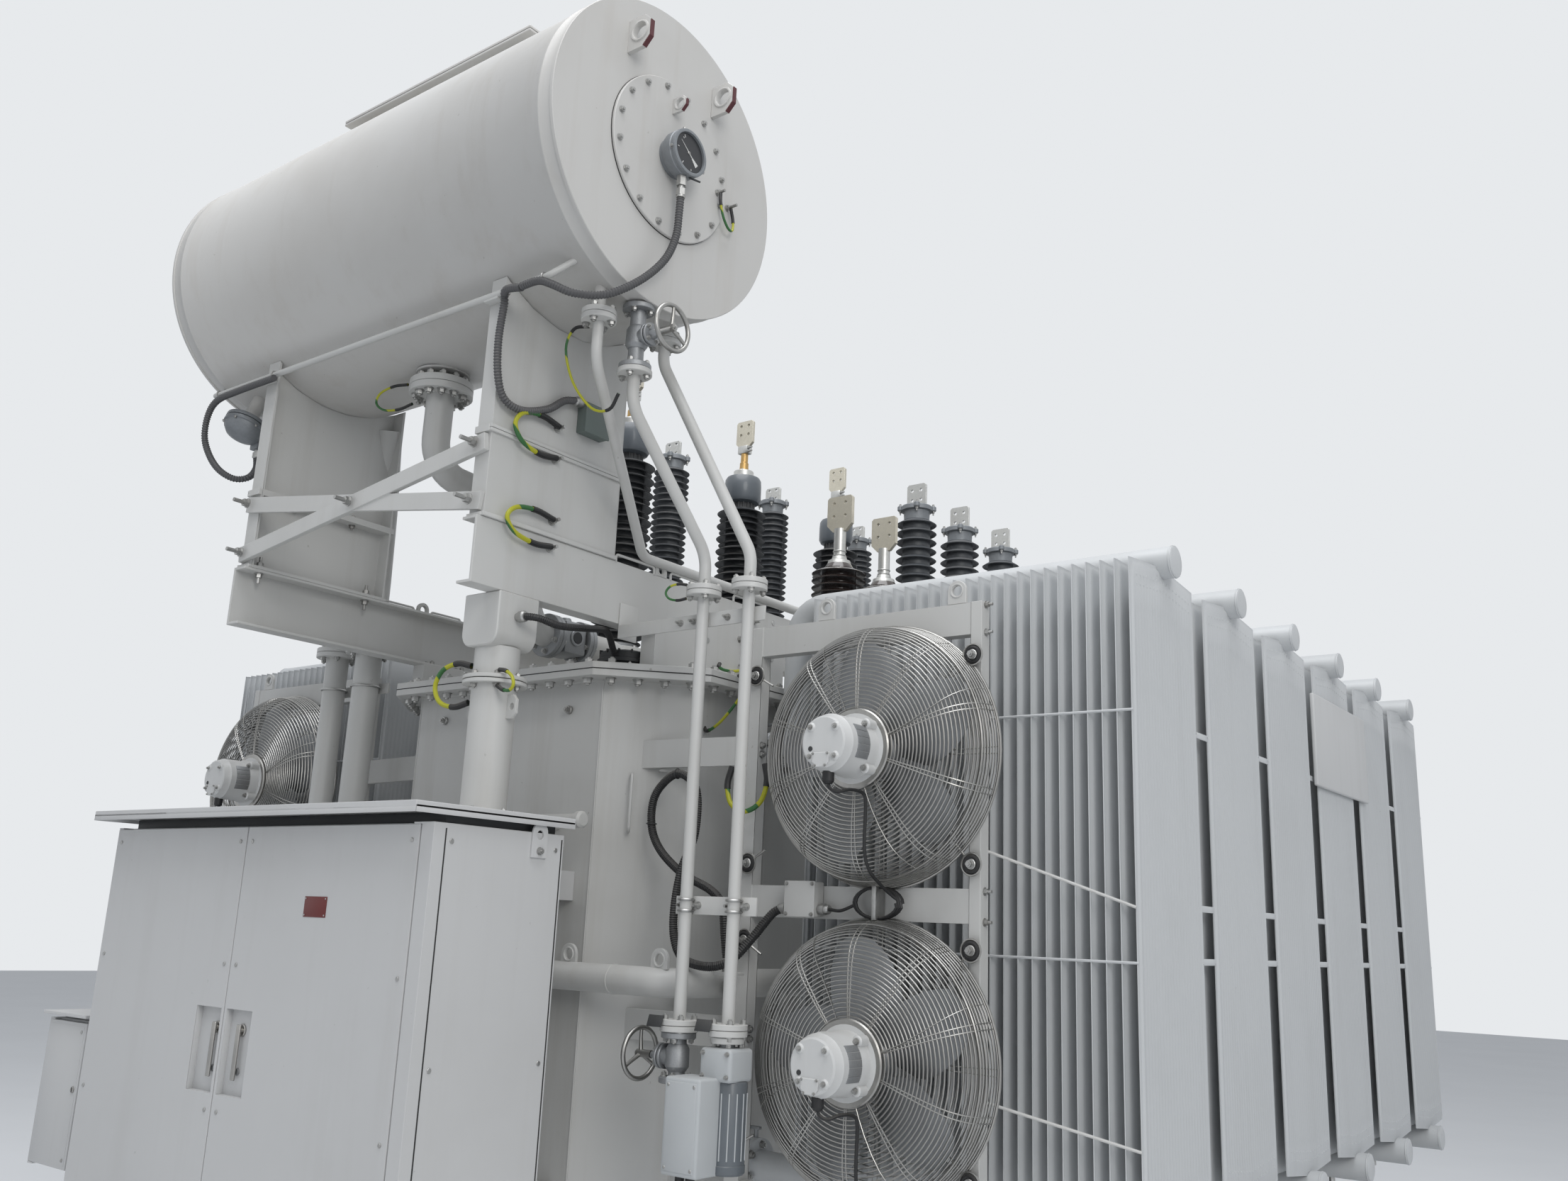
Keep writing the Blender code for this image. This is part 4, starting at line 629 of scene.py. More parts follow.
  def done(self, *replaced, smooth=32):
    self.shape.transform(self.turn)
    bmesh.ops.recalc_face_normals(self.shape, faces=self.shape.faces)
    mesh = bpy.data.meshes.new(self.name)
    self.shape.to_mesh(mesh)
    self.shape.free()
    for finish in self.used:
      mesh.materials.append(finishes[finish])
    mesh.shade_smooth()
    mesh.set_sharp_from_angle(angle=radians(smooth))
    piece = addObject(self.name, mesh)
    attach(piece, self.body)
    if replaced:
      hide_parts(*replaced)
    return piece


def circlePoints(centre, radius, count, first=0.0, sweep=tau):
  whole = abs(sweep) >= tau - 1e-6
  steps = count if whole else count + 1
  return [
    (centre[0] + radius * cos(first + sweep * i / count), centre[1] + radius * sin(first + sweep * i / count))
    for i in range(steps)
  ]


def eyeOutline(u, v, width, height, up=1):
  # a lug with a rounded end standing on (u, v)
  half = width / 2
  arc = circlePoints((u, v + (height - half) * up), half, 14, 0.0, pi * up)
  return [(u + half, v), *arc, (u - half, v)]


def dress(finish, *names):
  # a CAD piece that stays: its finish and slightly rounded edges
  for name in names:
    piece = nodes[name]
    if not piece.material_slots:
      piece.data.materials.append(None)
    for slot in piece.material_slots:
      slot.material = finishes[finish]
    custom = piece.data.attributes.get("custom_normal")
    if custom:
      piece.data.attributes.remove(custom)
    piece.data.shade_flat()
    weld = piece.modifiers.new("weld", "WELD")
    weld.merge_threshold = 0.00002
    soft = piece.modifiers.new("soft", "BEVEL")
    soft.width = 0.0022
    soft.segments = 2
    soft.limit_method = "ANGLE"
    soft.angle_limit = radians(40)
    soft.use_clamp_overlap = True


dress("tank", "tank_body", "tank_cover")
dress("paint", "base_frame", "fan_frame_left", "fan_frame_right", "support_beam_left", "support_beam_right")
dress("paint", "conservator_leg_left", "conservator_leg_right", "leg_brace")
dress("cabinet", "cabinet_body", "cabinet_roof", "side_box")
print("kept pieces dressed")

hands = {-1: "left", 1: "right"}


def earthStrap(build, start, end, out, radius=0.0055):
  # a striped strap bulging round between two bolts, with dark sleeves at its ends
  start, end, out = Vector(start), Vector(end), Vector(out)
  along = end - start
  path = [start, start + out * 0.4 - along * 0.1, start + out * 0.82 + along * 0.06, (start + end) / 2 + out]
  path = smoothPath([*path, end + out * 0.82 - along * 0.06, end + out * 0.4 + along * 0.1, end], 5)
  build.tube(path, radius, "earth", 10)
  for sleeve in (path[:7], path[-7:]):
    build.tube(sleeve, radius * 1.3, "rubber", 10)


def eyeLug(build, place, plane, width, height, hole, thick, finish="paint", up=1):
  # a plate with a round eye and a ring round it
  u, v, w = place
  axes = {"YZ": axisX, "XZ": axisY, "XY": axisZ}
  outline = eyeOutline(u, v, width, height, up)
  eye = (u, v + (height - width / 2) * up)
  build.plate(outline, plane, w - thick / 2, w + thick / 2, finish, [circlePoints(eye, hole, 18)])
  spot = {"YZ": (w, *eye), "XZ": (eye[0], w, eye[1]), "XY": (*eye, w)}[plane]
  for side in (-1, 1):
    shift = Vector(axes[plane]) * side * thick / 2
    build.hoop(Vector(spot) + shift, axes[plane], hole + 0.004, 0.003, finish, 24, 6)


# Tank: flange bolts, gasket and fittings on its walls

tankSizes = Sizes(
  halfX=0.85, halfY=2.24, wallX=0.75, corner=0.24, boltInset=0.045, pitch=0.098,
  under=2.5, joint=2.5252, top=2.5503,
)


def octagonPoints(halfX, halfY, cut):
  return [
    (halfX - cut, -halfY), (halfX, cut - halfY), (halfX, halfY - cut), (halfX - cut, halfY),
    (cut - halfX, halfY), (-halfX, halfY - cut), (-halfX, cut - halfY), (cut - halfX, -halfY),
  ]


# bolts, gasket and seams
s = tankSizes
build = Build("tankTrim")
cut = s.corner + (s.halfX - s.wallX) * (2 - sqrt(2))
inset = s.boltInset
line = octagonPoints(s.halfX - inset, s.halfY - inset, cut - inset * (2 - sqrt(2)))
spots = []
for a, b in zip(line, line[1:] + line[:1]):
  a, b = Vector((*a, 0)), Vector((*b, 0))
  count = max(1, round((b - a).length / s.pitch))
  spots += [a.lerp(b, (i + 0.5) / count) for i in range(count)]
clear = [p for p in spots if not (abs(abs(p.x) - 0.65) < 0.08 and -2.1 < p.y < -1.27)]
build.bolts([(p.x, p.y, s.top) for p in clear], axisZ, 0.026)
build.bolts([(p.x, p.y, s.under) for p in spots], faceDown, 0.026)
edge = octagonPoints(s.halfX + 0.0006, s.halfY + 0.0006, cut)
build.plate(edge, "XY", s.joint - 0.0018, s.joint + 0.0018, "gasket", bevel=0)
# welded seam where the chamfers meet the long walls and the foot
for x, y in ((0.75, -1.9), (0.51, -2.14), (-0.51, -2.14), (-0.75, -1.9)):
  build.tube([(x, y, 0.335), (x, y, 2.498)], 0.0035, "tank", 6)
build.done()

# handles, stub, jacking lugs and pads
build = Build("tankFittings")
out = Vector((1, -1, 0)).normalized()
along = Vector((1, 1, 0)).normalized()
corner = Vector((0.63, -2.02, 0))
# two round handles on the right chamfer, one upright and one level
for (a, low), (b, high) in (((-0.045, 1.965), (-0.045, 2.165)), ((0.055, 2.182), (0.15, 2.182))):
  first, last = corner + along * a + upBy(low), corner + along * b + upBy(high)
  reach = out * 0.045
  build.tube(roundedPath([first, first + reach, last + reach, last], 0.014, 5), 0.0055, "paint", 8)
# the stub behind the cabinet's roof
stub = [(0.33, -2.14, 1.985), (0.33, -2.3, 1.985), (0.6, -2.3, 1.985)]
build.tube(roundedPath(stub, 0.05), 0.021, "paint", 14)
build.disc((0.607, -2.3, 1.985), axisX, 0.029, 0.034, "paint", 0.008, 20)
# jacking lugs low on the long walls and the foot of the tank
for side in (-1, 1):
  for y in (-1.72, 1.72):
    x = side * 0.75
    build.block((min(x, x + side * 0.13), y - 0.09, 0.43), (max(x, x + side * 0.13), y + 0.09, 0.455), "tank")
    for shift in (-0.07, 0.07):
      rib = [(x, 0.455), (x + side * 0.12, 0.455), (x + side * 0.02, 0.6), (x, 0.6)]
      build.plate(rib, "XZ", y + shift - 0.006, y + shift + 0.006, "tank")
# earth pads, and the strap across the tank's flange
for x in (0.35, -0.35):
  build.disc((x, -2.146, 2.4), axisY, 0.016, 0.012, "zinc", sides=16)
  build.bolts([(x, -2.152, 2.4)], faceFront, 0.018)
earthStrap(build, (0.742, -1.84, 2.36), (0.86, -1.8, 2.545), (0.1, -0.02, 0.0))
build.done()

print("tank done")


# Radiators: fluted outer panels, plain ones between them, headers and necks

radiatorSizes = Sizes(
  width=0.52, bottom=0.905, top=2.795, peak=0.024, inner=1.198, outer=2.383, panels=26,
  thick=0.013, seam=0.0032, flutes=21, dip=0.42, pitch=0.622, header=0.052, upper=2.834,
  lower=0.8477, end=2.43, neckX=0.9503, neckZ=2.28, wall=0.7503, bend=0.115, link=(2.32, 1.768, 1.606),
  tie=(2.325, 1.6),
)


def gridRim(across, rows):
  # indices round the edge of a grid of points
  rim = list(range(across)) + [r * across + across - 1 for r in range(1, rows)]
  rim += [(rows - 1) * across + c for c in range(across - 2, -1, -1)]
  return rim + [r * across for r in range(rows - 2, 0, -1)]


def panelMesh(x, fluted):
  s = radiatorSizes
  half = s.width / 2
  full, edge = s.thick / 2, s.seam / 2
  columns = [(-half, edge, 0), (-half + 0.011, edge, 0), (-half + 0.018, full, 0)]
  if fluted:
    inner = half - 0.026
    step = 2 * inner / s.flutes
    for i in range(s.flutes):
      left = -inner + i * step
      columns += [(left + step * 0.12, full, 0), (left + step * 0.3, full, 1), (left + step * 0.7, full, 1)]
      columns += [(left + step * 0.88, full, 0)]
  columns += [(half - 0.018, full, 0), (half - 0.011, edge, 0), (half, edge, 0)]
  height = s.top - s.bottom
  rows = [(0, 0, 0), (0.01, 0, 0), (0.018, 1, 0), (0.095, 1, 0), (0.125, 1, 1)]
  rows += [(height - 0.165, 1, 1), (height - 0.135, 1, 0), (height - 0.018, 1, 0), (height - 0.01, 0, 0),
    (height, 0, 0)]
  if not fluted:
    rows = rows[:3] + rows[7:]
  verts, faces = [], []
  across, up = len(columns), len(rows)
  for side in (1, -1):
    for z, body, flute in rows:
      for y, thick, dip in columns:
        gable = s.peak * (1 - abs(y) / half)
        shift = gable if z > height / 2 else -gable
        deep = edge + (thick - edge) * body
        deep -= deep * s.dip * dip * flute
        verts.append((x + side * deep, y, s.bottom + z + shift))
  for side in (0, 1):
    base = side * across * up
    for r in range(up - 1):
      for c in range(across - 1):
        quad = [base + r * across + c, base + r * across + c + 1]
        quad += [base + (r + 1) * across + c + 1, base + (r + 1) * across + c]
        faces.append(quad if side == 0 else quad[::-1])
  rim = gridRim(across, up)
  for a, b in zip(rim, rim[1:] + rim[:1]):
    faces.append([b, a, a + across * up, b + across * up])
  return plainMesh("panel", verts, faces)


def radiator(side, number):
  s = radiatorSizes
  y = s.pitch * (number - 3.5)
  build = Build(f"radiator{hands[side].title()}{number}", turn=Matrix.Diagonal((side, 1, 1, 1)))
  place = Matrix.Translation((0, y, 0))
  spare = s.thick / 2
  first, last = s.inner + spare, s.outer - spare
  step = (last - first) / (s.panels - 1)
  for x in (first, last):
    build.mesh(panelMesh(x, True), "radiator", place)
  middle = grown("stack", panelMesh(first + step, False), "radiator", Count=s.panels - 2, Step=(step, 0.0, 0.0))
  build.mesh(middle, "radiator", place)
  # the small dimples along the top and bottom margins
  for z, way in ((s.top - 0.05, 1), (s.bottom + 0.05, -1)):
    for i in range(17):
      across = -0.215 + i * 0.43 / 16
      rise = s.peak * (1 - abs(across) / 0.26) * way
      for low in (0, -0.03 * way):
        build.disc((last + spare, y + across, z + rise + low), axisX, 0.0042, 0.0024, "radiator", 0.001, 8)
  r = s.header
  upper, lower = s.upper, s.lower
  path = [(s.end - 0.004, y, upper), (s.neckX, y, upper), (s.neckX, y, s.neckZ), (s.wall, y, s.neckZ)]
  build.tube(roundedPath(path, s.bend, 7), r, "radiator", 22)
  build.tube([(s.end - 0.004, y, lower), (s.wall, y, lower)], r, "radiator", 22)
  for z in (upper, lower):
    cap = [(0, 0.004), (r - 0.01, 0.0035), (r - 0.003, 0.001), (r - 0.0002, -0.004)]
    build.lathe([*cap, (r - 0.006, -0.005), (0, -0.005)], (s.end - 0.004, y, z), "radiator", axisX, 22)
    build.hoop((s.end - 0.01, y, z), axisX, r, 0.0022, "radiator", 28, 6)
  for z in (s.neckZ, lower):
    build.flange((0.845, y, z), axisX, 0.092, 0.04, "radiator", 6, 0.02)
    build.tube([(0.845, y, z + 0.075), (0.845, y, z + 0.125)], 0.008, "casting", 8)
    build.block((0.8, y - 0.009, z + 0.118), (0.862, y + 0.009, z + 0.128), "casting")
  # drain plug, the ties across the panels' edges and the links to the next radiator
  build.tube([(last - 0.1, y, lower - r + 0.004), (last - 0.1, y, lower - r - 0.018)], 0.012, "zinc", 8)
  for z in s.tie:
    for way in (-1, 1):
      edge = y + way * (s.width / 2 - 0.0015)
      build.tube([(first - 0.004, edge, z), (last + 0.004, edge, z)], 0.0042, "radiator", 6)
  if number < 6:
    for z in s.link:
      low = (last - 0.002, y + s.width / 2 - 0.004, z - 0.01)
      build.block(low, (last + 0.002, y + s.pitch - s.width / 2 + 0.004, z + 0.01), "radiator", 0.001)
  build.done(f"radiator_{hands[side]}_{number}")


for side in (-1, 1):
  for number in range(1, 7):
    radiator(side, number)
print("radiators done")


# Fans: wire guards with their motors, and rotors

fanSizes = Sizes(
  x=1.635, z={"lower": 1.285, "upper": 2.195}, back=-2.0043, rim=0.412, shoulder=0.391, depth=0.165,
  hole=0.105, wire=0.0025, rings=32, ribs=10, motor=0.088, motorFront=0.337, plate=0.125,
  root=0.07, tip=0.361,
)


def guardProfile():
  s = fanSizes
  points = [(s.hole, s.depth - 0.003), (0.2, s.depth), (0.3, s.depth - 0.006), (0.355, s.depth - 0.03)]
  points += [(s.shoulder, 0.086), (s.rim - 0.004, 0.012)]
  return [(r, 0, z) for r, _, z in smoothPath([(r, 0, z) for r, z in points], 6)]


def fanBuild(kind, side, level, **settings):
  place = Matrix.Translation((side * fanSizes.x, fanSizes.back, fanSizes.z[level]))
  name = f"fan{kind}{hands[side].title()}{level.title()}"
  return Build(name, turn=place @ Matrix.Rotation(pi / 2, 4, "X"), **settings)


def fanGuard(side, level):
  s = fanSizes
  build = fanBuild("Guard", side, level)
  wires = grown("cage", pathMesh(guardProfile()), "steel", Rings=s.rings, Ribs=s.ribs, Wire=s.wire,
    Spread=0.045)
  build.mesh(wires, "steel", Matrix.Rotation(radians(18), 4, "Z"))
  rear = [(r, 0, 0.002) for r in (0.06, 0.15, 0.25, 0.33, 0.406)]
  build.mesh(grown("cage", pathMesh(rear), "steel", Rings=17, Ribs=8, Wire=0.0018, Spread=0.05), "steel")
  build.hoop((0, 0, 0.006), axisZ, s.rim, 0.0048, "steel", 72, 8)
  build.hoop((0, 0, 0.086), axisZ, s.shoulder + 0.002, 0.0034, "steel", 72, 6)
  # thin curved wires that lock the rings between the ribs
  for i in range(4):
    start = tau * i / 4 + 0.3
    path = []
    for r, _, z in guardProfile()[::3]:
      angle = start + (r - s.hole) * 0.55
      path.append((r * cos(angle), r * sin(angle), z + 0.004))
    build.tube(path, 0.0014, "steel", 5)
  # the motor: foot plate, body, end cap, bolts, label and cable gland
  depth, r, front = s.depth, s.motor, s.motorFront
  plate = [(0, depth + 0.01), (s.plate - 0.004, depth + 0.01), (s.plate, depth + 0.006),
    (s.plate, depth - 0.004)]
  build.lathe([*plate, (0, depth - 0.004)], (0, 0, 0), "steel", sides=48)
  body = [
    (0, front), (r - 0.016, front), (r - 0.01, front - 0.004), (r - 0.004, front - 0.026), (r, front - 0.032),
    (r, depth + 0.05), (r + 0.005, depth + 0.04), (r + 0.005, depth + 0.012), (r + 0.02, depth + 0.01),
    (0, depth + 0.01),
  ]
  build.lathe(body, (0, 0, 0), "motor", sides=40)
  for i in range(4):
    angle = tau * (i + 0.5) / 4
    x, y = cos(angle), sin(angle)
    build.disc((x * 0.062, y * 0.062, front - 0.006), axisZ, 0.016, 0.022, "motor", 0.006, 16)
    build.bolts([(x * 0.062, y * 0.062, front + 0.005)], axisZ, 0.011)
    build.disc((x * 0.094, y * 0.094, depth + 0.028), axisZ, 0.017, 0.046, "motor", 0.004, 16)
    build.bolts([(x * 0.094, y * 0.094, depth + 0.051)], axisZ, 0.013)
  # the label bends round the side, and a small cover closes the terminals on the end
  for i in range(5):
    bent = Matrix.Rotation(radians(6 + 14 * (i - 2)), 4, "Z")
    build.block((r - 0.002, -0.01, depth + 0.052), (r + 0.0012, 0.01, depth + 0.116), "casting", 0.0003, bent)
  cover = [(-0.034, -0.032), (-0.034, -0.06), (-0.02, -0.076), (0.012, -0.076), (0.026, -0.06), (0.026, -0.032)]
  build.plate(cover, "XY", front - 0.004, front + 0.007, "motor", bevel=0.002)
  spots = ((-0.03, -0.036), (0.022, -0.036), (-0.022, -0.071), (0.014, -0.071))
  build.bolts([(x, y, front + 0.007) for x, y in spots], axisZ, 0.006)
  build.disc((-0.044, -0.02, front + 0.0006), axisZ, 0.0075, 0.002, "cap", 0, 20)
  build.gland((-0.004, -r + 0.004, front - 0.04), faceFront, "rubber", 0.036, 0.012, 0.018)
  build.done(f"fan_guard_{hands[side]}_{level}")


def fanRotor(side, level):
  s = fanSizes
  node = f"fan_rotor_{hands[side]}_{level}"
  build = fanBuild("Rotor", side, level, body=node)
  hub = [(0, 0.064), (0.058, 0.064), (0.07, 0.06), (0.075, 0.052), (0.075, 0.012), (0.07, 0.009), (0, 0.009)]
  build.lathe(hub, (0, 0, 0), "blade", sides=36)
  build.tube([(0, 0, 0.06), (0, 0, 0.1575)], 0.014, "zinc", 12)
  rows, across = 9, 8
  verts, faces = [], []
  for thick in (0.0014, -0.0014):
    for i in range(rows):
      t = i / (rows - 1)
      radius = s.root + (s.tip - s.root) * t
      chord = 0.095 + 0.15 * sin(pi * min(1, 0.18 + t * 0.72))
      pitch = radians(30 - 17 * t)
      sweep = 0.16 * t
      for j in range(across):
        u = j / (across - 1) - 0.5
        rounding = sqrt(max(0.0, 1 - (2 * u) ** 2 * (0.3 + 0.62 * max(0, t - 0.8) / 0.2)))
        reach = radius * (1 if t < 0.8 else 0.93 + 0.07 * rounding)
        angle = sweep + u * chord * cos(pitch) / max(radius, 0.16)
        z = 0.036 + u * chord * sin(pitch) * 0.62 + 0.012 * (1 - (2 * u) ** 2) * t + thick
        verts.append((reach * cos(angle), reach * sin(angle), z))
  base = rows * across
  for i in range(rows - 1):
    for j in range(across - 1):
      a = i * across + j
      faces.append((a, a + across, a + across + 1, a + 1))
      faces.append((a + base, a + base + 1, a + base + across + 1, a + base + across))
  rim = gridRim(across, rows)
  for a, b in zip(rim, rim[1:] + rim[:1]):
    faces.append((a, b, b + base, a + base))
  build.mesh(grown("wheel", plainMesh("blade", verts, faces), "blade", Count=5, First=0.35), "blade")
  build.done(node, smooth=50)


for side in (-1, 1):
  for level in ("lower", "upper"):
    fanGuard(side, level)
    fanRotor(side, level)
print("fans done")


# Fan frames: bolts, rubber mounts, lifting lugs, stays, junction box and cables

frameSizes = Sizes(end=1.973, beams=(0.83, 1.74, 2.61), beam=0.105, strut=1.954, mount=0.022, cable=0.0052)

for side in (-1, 1):
  s = frameSizes
  build = Build(f"fanFrameDetails{hands[side].title()}", turn=Matrix.Diagonal((side, 1, 1, 1)))
  for z in s.beams:
    for way in (-1, 1):
      build.bolts([(s.end, -1.97, z + way * s.beam * 0.42)], axisX, 0.016, thread=0.8)
  # rubber mounts that hold the guards to the strut and the post
  for z in (2.489, 1.86, 1.614, 0.985):
    for x in (s.strut, 1.115):
      build.hoop((x, -2.012, z), axisY, s.mount, 0.009, "rubber", 24, 10)
      build.disc((x, -2.01, z), axisY, 0.016, 0.026, "zinc", 0.002, 20)
      build.bolts([(x, -2.023, z)], faceFront, 0.018)
      centre = fanSizes.z["upper" if z > 1.74 else "lower"]
      run = Vector((fanSizes.x - x, 0, centre - z)).normalized()
      build.tube([(x, -2.016, z), (x + run.x * 0.08, -2.01, z + run.z * 0.08)], 0.004, "steel", 6)
      build.hoop((x, -2.016, z), axisY, 0.0325, 0.0034, "steel", 24, 6)
  for x in (1.38, 1.88):
    eyeLug(build, (x, 2.6625, -1.982), "XZ", 0.066, 0.076, 0.017, 0.012)
  # stays from the strut to the first radiator's outer edge
  for z, end in ((1.909, 1.754), (1.2, 1.1)):
    build.tube([(1.95, -1.95, z), (2.3765, -1.8165, end)], 0.0045, "paint", 8)
  # junction box on the middle beam, with its glands
  build.block((1.299, -2.046, 1.694), (1.413, -1.9955, 1.802), "paint", 0.004)
  if side > 0:
    build.block((1.297, -2.051, 1.692), (1.415, -2.045, 1.804), "paint", 0.003)
    build.bolts([(x, -2.051, z) for x in (1.306, 1.406) for z in (1.701, 1.795)], faceFront, 0.009)
  for x, way in ((1.297, -1), (1.415, 1)):
    gland = [(0, 0.04), (0.013, 0.04), (0.015, 0.036), (0.015, 0.026), (0.018, 0.025), (0.018, 0.01),
      (0.015, 0.009)]
    build.lathe([*gland, (0.015, 0), (0, 0)], (x, -2.022, 1.718), "zinc", (way, 0, 0), 12)
  # motor cables: down the front of each guard, the upper one coiled and tied on the beam
  fx, front = fanSizes.x, fanSizes.back - fanSizes.depth
  coil = []
  for i in range(3 * 24 + 1):
    angle = tau * i / 24
    wide = 0.088 - 0.006 * (i // 24)
    coil.append((fx + wide * cos(angle), -2.02 - 0.004 * (i / 24), 1.742 + 0.047 * sin(angle)))
  build.tube(coil, s.cable, "rubber", 8)
  for level, end in (("upper", coil[0]), ("lower", (fx - 0.06, -2.012, 0.835))):
    z = fanSizes.z[level]
    path = [(fx - 0.004, -2.301, z - 0.11), (fx, -2.298, z - 0.132), (fx + 0.018, -2.282, z - 0.142),
      (fx + 0.034, -2.24, z - 0.132)]
    path += [(fx + 0.046, front - 0.022, z - 0.138), (fx + 0.05, front - 0.011, z - 0.17),
      (fx + 0.05, front - 0.011, z - 0.3)]
    path += [(fx + 0.05, front + 0.018, z - 0.362), (fx + 0.052, front + 0.08, z - 0.402),
      (fx + 0.06, -2.04, z - 0.43), end]
    build.tube(smoothPath(path, 8), s.cable, "rubber", 8)
  path = [(1.455, -2.022, 1.718), (1.5, -2.024, 1.716), (1.552, -2.022, 1.735)]
  build.tube(smoothPath(path, 8), s.cable, "rubber", 8)
  build.block((fx - 0.008, -2.048, 1.69), (fx + 0.008, -1.996, 1.798), "zinc", 0.002)
  if side > 0:
    # straps on the post
    earthStrap(build, (1.045, -2.035, 2.18), (1.17, -2.016, 2.185), (0.0, -0.01, -0.155), 0.0085)
    build.bolts([(1.118, -1.975, z) for z in (2.255, 2.225, 1.335, 1.305)], axisX, 0.018)
  build.done()

print("fan frames done")


# Conservator with its lugs, curb, rail and end plates

conservatorSizes = Sizes(
  y=-2.6, z=4.168, radius=0.544, end=1.1, plate=0.012, weld=1.035, curb=(-0.49, 0.53, 0.18),
  curbTop=4.789, hatch=0.285,
)

flexTube = Sizes(radius=0.0138, finish="flex", pitch=0.01, ridge=0.22)


def liftingEye(build, x, y, low, tall, reach, thick, hole):
  # a plate standing out from an end face, its corners cut, its edge oxide red
  cut = reach * 0.3
  edge = [(x + reach - cut, low), (x + reach, low + cut), (x + reach, low + tall - cut),
    (x + reach - cut, low + tall)]
  eye = (x + reach * 0.52, low + tall * 0.53)
  outline = [(x, low), *edge, (x, low + tall)]
  build.plate(outline, "XZ", y - thick / 2, y + thick / 2, "conservator", [circlePoints(eye, hole, 20)])
  for way in (-1, 1):
    build.hoop((eye[0], y + way * thick / 2, eye[1]), axisY, hole * 1.22, hole * 0.18, "conservator", 28, 6)
  rim = [(u + 0.001, v) for u, v in edge[:3]]
  rim += [(u - 0.003, v + (0.003 if v < low + tall / 2 else -0.003)) for u, v in reversed(rim)]
  build.plate(rim, "XZ", y - thick * 0.55, y + thick * 0.55, "redTrim", bevel=0)


s = conservatorSizes
build = Build("conservatorShell")
y, z, r, end = s.y, s.z, s.radius, s.end
centre = (0, y, z)
shell = [(0, end), (r - 0.002, end), (r, end - 0.002), (r, end - s.plate), (r - 0.004, end - s.plate - 0.001)]
for x in (s.weld, -s.weld):
  shell += [(r - 0.004, x + 0.008), (r - 0.001, x + 0.004), (r - 0.0004, x), (r - 0.001, x - 0.004),
    (r - 0.004, x - 0.008)]
mirror = [(radius, -height) for radius, height in reversed(shell[:5])]
build.lathe([*shell, *mirror], centre, "conservator", axisX, 112)
# the curb on top with its bolted plate
left, right, half = s.curb
for wide, low, high, finish, bevel in (
  (0, 4.6, 4.766, "conservator", 0.003), (0.04, 4.766, 4.776, "conservator", 0.002),
  (0.038, 4.776, 4.7785, "gasket", 0), (0.04, 4.7785, s.curbTop, "conservator", 0.002),
):
  build.block((left - wide, y - half - wide, low), (right + wide, y + half + wide, high), finish, bevel)
spots = [(left + (right - left) * i / 9, way) for i in range(10) for way in (-1, 1)]
edge = [(x, y + way * (half + 0.02), s.curbTop) for x, way in spots]
edge += [(x, y + way * half * 0.5, s.curbTop) for x in (left - 0.02, right + 0.02) for way in (-1, 0, 1)]
build.bolts(edge, axisZ, 0.014, head=0.55)
# vent stub, and the flanged fitting near the right end
build.tube([(-0.97, y, z + r - 0.01), (-0.97, y, z + r + 0.035)], 0.012, "zinc", 10)
top = Vector((0.9, y + 0.16, z + sqrt(r * r - 0.0256)))
build.tube([top - upBy(0.02), top + upBy(0.045)], 0.032, "conservator", 18)
build.flange(top + upBy(0.045), axisZ, 0.062, 0.028, "conservator", 6, 0.014)
# lifting eyes on the right end plate
for eyeY, low in ((-2.831, 4.445), (-2.4, 4.44)):
  liftingEye(build, end, eyeY, low, 0.12, 0.1, 0.016, 0.028)
# the rail below the front with its ends turned back to the shell
rail = [(-1.06, -2.86, 3.7), (-1.02, -2.93, 3.645), (0.915, -2.93, 3.645), (0.975, -2.87, 3.712)]
build.tube(roundedPath(rail, 0.035), 0.0115, "paint", 12)
for x in (-0.65, 0.65):
  build.block((x - 0.035, -2.936, 3.628), (x + 0.035, -2.905, 3.648), "paint", 0.002)
for x in (-0.98, -0.6, 0.72, 0.9):
  build.hoop((x, -2.93, 3.645), axisX, 0.0135, 0.004, "zinc", 16, 6)
# outlets below the right end and the middle
for ox, oy in ((1.04, -2.635), (0.925, -2.38), (0.985, -2.76)):
  surface = z - sqrt(r * r - (oy - y) ** 2)
  build.tube([(ox, oy, surface + 0.02), (ox, oy, surface - 0.028)], 0.02, "conservator", 16)
build.tube([(0, y, z - r + 0.02), (0, y, z - r - 0.03)], 0.052, "conservator", 24)
build.lathe([(0.1, 0.004), (0.1, -0.004), (0.052, -0.006)], (0, y, z - r + 0.004), "conservator", sides=28)
build.done("conservator", smooth=38)

# the hatch
build = Build("conservatorHatchPlate")
y, z, r, face = s.y, s.z, s.hatch, 1.1123
build.disc((face - 0.0058, y, z), axisX, r, 0.0117, "conservator", 0.0025, 72)
build.hoop((1.1006, y, z), axisX, r + 0.0005, 0.0014, "gasket", 72, 6)
build.boltRing((face, y, z), 0.26, 16, axisX, 0.017, radians(11.25), head=0.45, thread=0.25)
liftingEye(build, face, y - 0.012, z + 0.165, 0.06, 0.062, 0.01, 0.017)
# earth strap from the hatch to the end plate
build.bolts([(face, -2.361, 4.161)], axisX, 0.018, thread=1.2)
build.bolts([(1.1, -2.29, 4.139)], axisX, 0.018, thread=1.8)
earthStrap(build, (1.128, -2.361, 4.155), (1.118, -2.29, 4.132), (0.008, 0.012, -0.105), 0.0046)
build.done("conservator_hatch", smooth=38)

